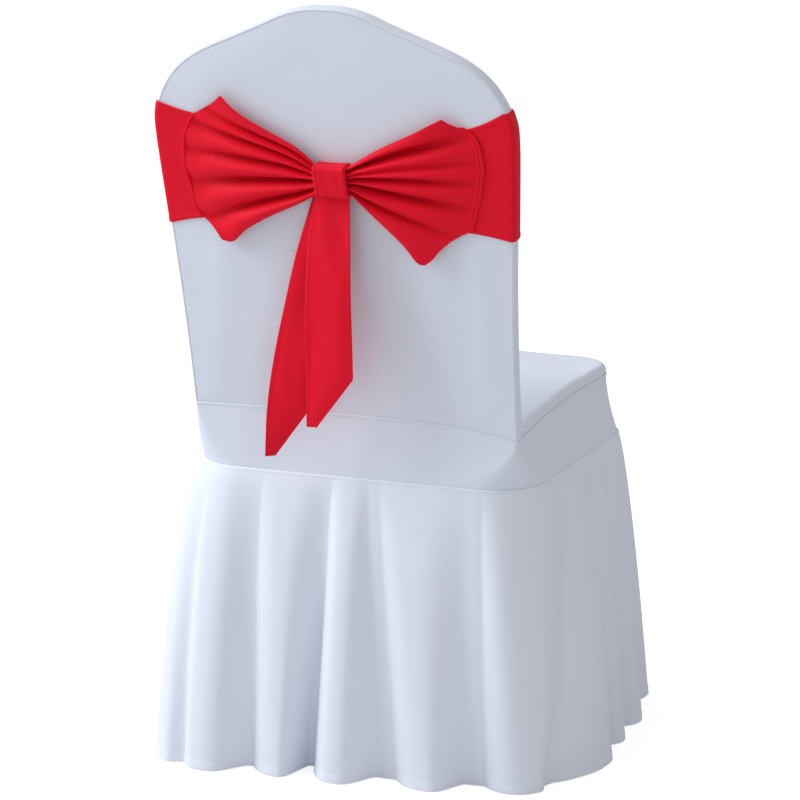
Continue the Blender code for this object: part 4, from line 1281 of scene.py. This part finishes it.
def make_cover():
    satin = {"roughness": 0.6, "sheen": 0.1, "specular": 0.12}
    matt = {"roughness": 0.82, "sheen": 0.15, "specular": 0.3}
    sash_hems = {"stitch_place": SASH_HEM * MM, "height": 0.146}
    white = new_cloth_material("white_stretch_cloth", WHITE, WHITE_DEEP, **matt)
    # The skirt's cloth, painted a little lighter than the rest to stand in for more light
    skirt = new_cloth_material(
        "white_skirt_cloth_painted_lighter", SKIRT_WHITE_PAINTED_LIGHTER, SKIRT_WHITE_DEEP_PAINTED_LIGHTER, **matt, stitch_place=HEM * MM
    )
    red = new_cloth_material("red_stretch_cloth", RED, RED_DEEP, **satin)
    # The wings' red, with painted shade in the pleats' valleys
    red_painted_shade = new_cloth_material("red_cloth_painted_valley_shade", RED, RED_DEEP, **satin, valley=RED_PAINTED_VALLEY_SHADE)
    sash = new_cloth_material("red_sash_cloth", RED, RED_DEEP, **satin, **sash_hems)
    make_rear_panel(white)
    make_gusset(white)
    make_front_panel(white)
    make_seat_panel(white)
    make_seat_band(white)
    make_skirt(skirt)
    make_sash_band(sash)
    make_wing("bow_wing_left", LEFT_WING_SIDE, LEFT_WING_TOP, LEFT_WING_BOTTOM, LEFT_PLEATS, red_painted_shade)
    make_wing("bow_wing_right", RIGHT_WING_SIDE, RIGHT_WING_TOP, RIGHT_WING_BOTTOM, RIGHT_PLEATS, red_painted_shade)
    make_seam_roll("bow_seam_left", LEFT_WING_SIDE, 0.17, 0.8, 0.6, 1.7, 1.8, red)
    make_seam_roll("bow_seam_right", RIGHT_WING_SIDE, 0.27, 0.84, -0.4, 1.6, 1.7, red)
    make_seam_roll("bow_seam_right_flap", RIGHT_WING_SIDE, 0.29, 0.85, -4.0, 2.7, 0.9, red)
    make_knot(red)
    make_tail("bow_tail_front", FRONT_TAIL, FRONT_TAIL_OUT, 0.0, FRONT_TAIL_CREASES, red, (0.057, 0.275))
    make_tail(
        "bow_tail_back", BACK_TAIL, BACK_TAIL_OUT, BACK_TAIL_TILT, BACK_TAIL_CREASES, red, (0.055, 0.32)
    )


# Studio

EYE = Vector((-1.2327, 3.1139, 1.1660))
HEADING = 0.38071
PITCH = 0.21872
LENS = 123.6
SURROUND = 0.535
FLOOR_TONE = 0.7
FLOOR_GLOW = 0.65
AIM = (0.0, 0.0, 0.45)
KEY_PLACE = (3.8, 1.5, 3.5)
KEY_SIZE = 3.0
KEY_POWER = 210.0
FILL_PLACE = (-2.6, 4.4, 1.6)
FILL_SIZE = 2.4
FILL_POWER = 12.0


def make_camera():
    forward = Vector(
        (math.sin(HEADING) * math.cos(PITCH), -math.cos(HEADING) * math.cos(PITCH), -math.sin(PITCH))
    )
    right = Vector((-math.cos(HEADING), -math.sin(HEADING), 0.0))
    above = right.cross(forward)
    camera = bpy.data.objects.new("camera", bpy.data.cameras.new("camera"))
    camera.data.lens = LENS
    camera.data.sensor_width = 36.0
    camera.matrix_world = Matrix(
        (
            (right.x, above.x, -forward.x, EYE.x),
            (right.y, above.y, -forward.y, EYE.y),
            (right.z, above.z, -forward.z, EYE.z),
            (0.0, 0.0, 0.0, 1.0),
        )
    )
    bpy.context.scene.collection.objects.link(camera)
    bpy.context.scene.camera = camera


def add_area_light(name, place, aim, size, power, colour):
    light = bpy.data.lights.new(name, "AREA")
    light.shape = "SQUARE"
    light.size = size
    light.energy = power
    light.color = colour
    item = bpy.data.objects.new(name, light)
    item.location = place
    item.rotation_euler = (Vector(aim) - Vector(place)).to_track_quat("-Z", "Y").to_euler()
    bpy.context.scene.collection.objects.link(item)


def make_studio():
    """A pale floor that runs on into a white surround, and soft light from the +X side and above."""
    mesh = bmesh.new()
    bmesh.ops.create_grid(mesh, x_segments=1, y_segments=1, size=60.0)
    bmesh.ops.translate(mesh, verts=mesh.verts, vec=(0.0, 0.0, -0.001))
    data = bpy.data.meshes.new("floor")
    mesh.to_mesh(data)
    mesh.free()
    floor = bpy.data.objects.new("floor", data)
    bpy.context.scene.collection.objects.link(floor)
    material = bpy.data.materials.new("pale_floor")
    material.use_nodes = True
    shader = material.node_tree.nodes["Principled BSDF"]
    set_values(shader, {"Base Color": (FLOOR_TONE, FLOOR_TONE, FLOOR_TONE, 1.0), "Roughness": 0.9})
    set_values(shader, {"Specular IOR Level": 0.0, "Emission Color": (1.0, 1.0, 1.0, 1.0)})
    seen = material.node_tree.nodes.new("ShaderNodeLightPath").outputs["Is Camera Ray"]
    glow = add_math(material.node_tree, "MULTIPLY", seen, FLOOR_GLOW)
    material.node_tree.links.new(glow, shader.inputs["Emission Strength"])
    data.materials.append(material)
    world = bpy.data.worlds.new("studio")
    world.use_nodes = True
    tree = world.node_tree
    background = tree.nodes["Background"]
    background.inputs["Color"].default_value = (1.0, 1.0, 1.0, 1.0)
    path = tree.nodes.new("ShaderNodeLightPath")
    seen = add_math(tree, "MULTIPLY", path.outputs["Is Camera Ray"], 1.0 - SURROUND)
    tree.links.new(add_math(tree, "ADD", seen, SURROUND), background.inputs["Strength"])
    scene = bpy.context.scene
    scene.world = world
    scene.view_settings.view_transform = "Standard"
    add_area_light("key", KEY_PLACE, AIM, KEY_SIZE, KEY_POWER, (0.90, 0.95, 1.0))
    add_area_light("fill", FILL_PLACE, AIM, FILL_SIZE, FILL_POWER, (1.0, 1.0, 1.0))


make_cover()
make_camera()
make_studio()
bpy.context.view_layer.update()
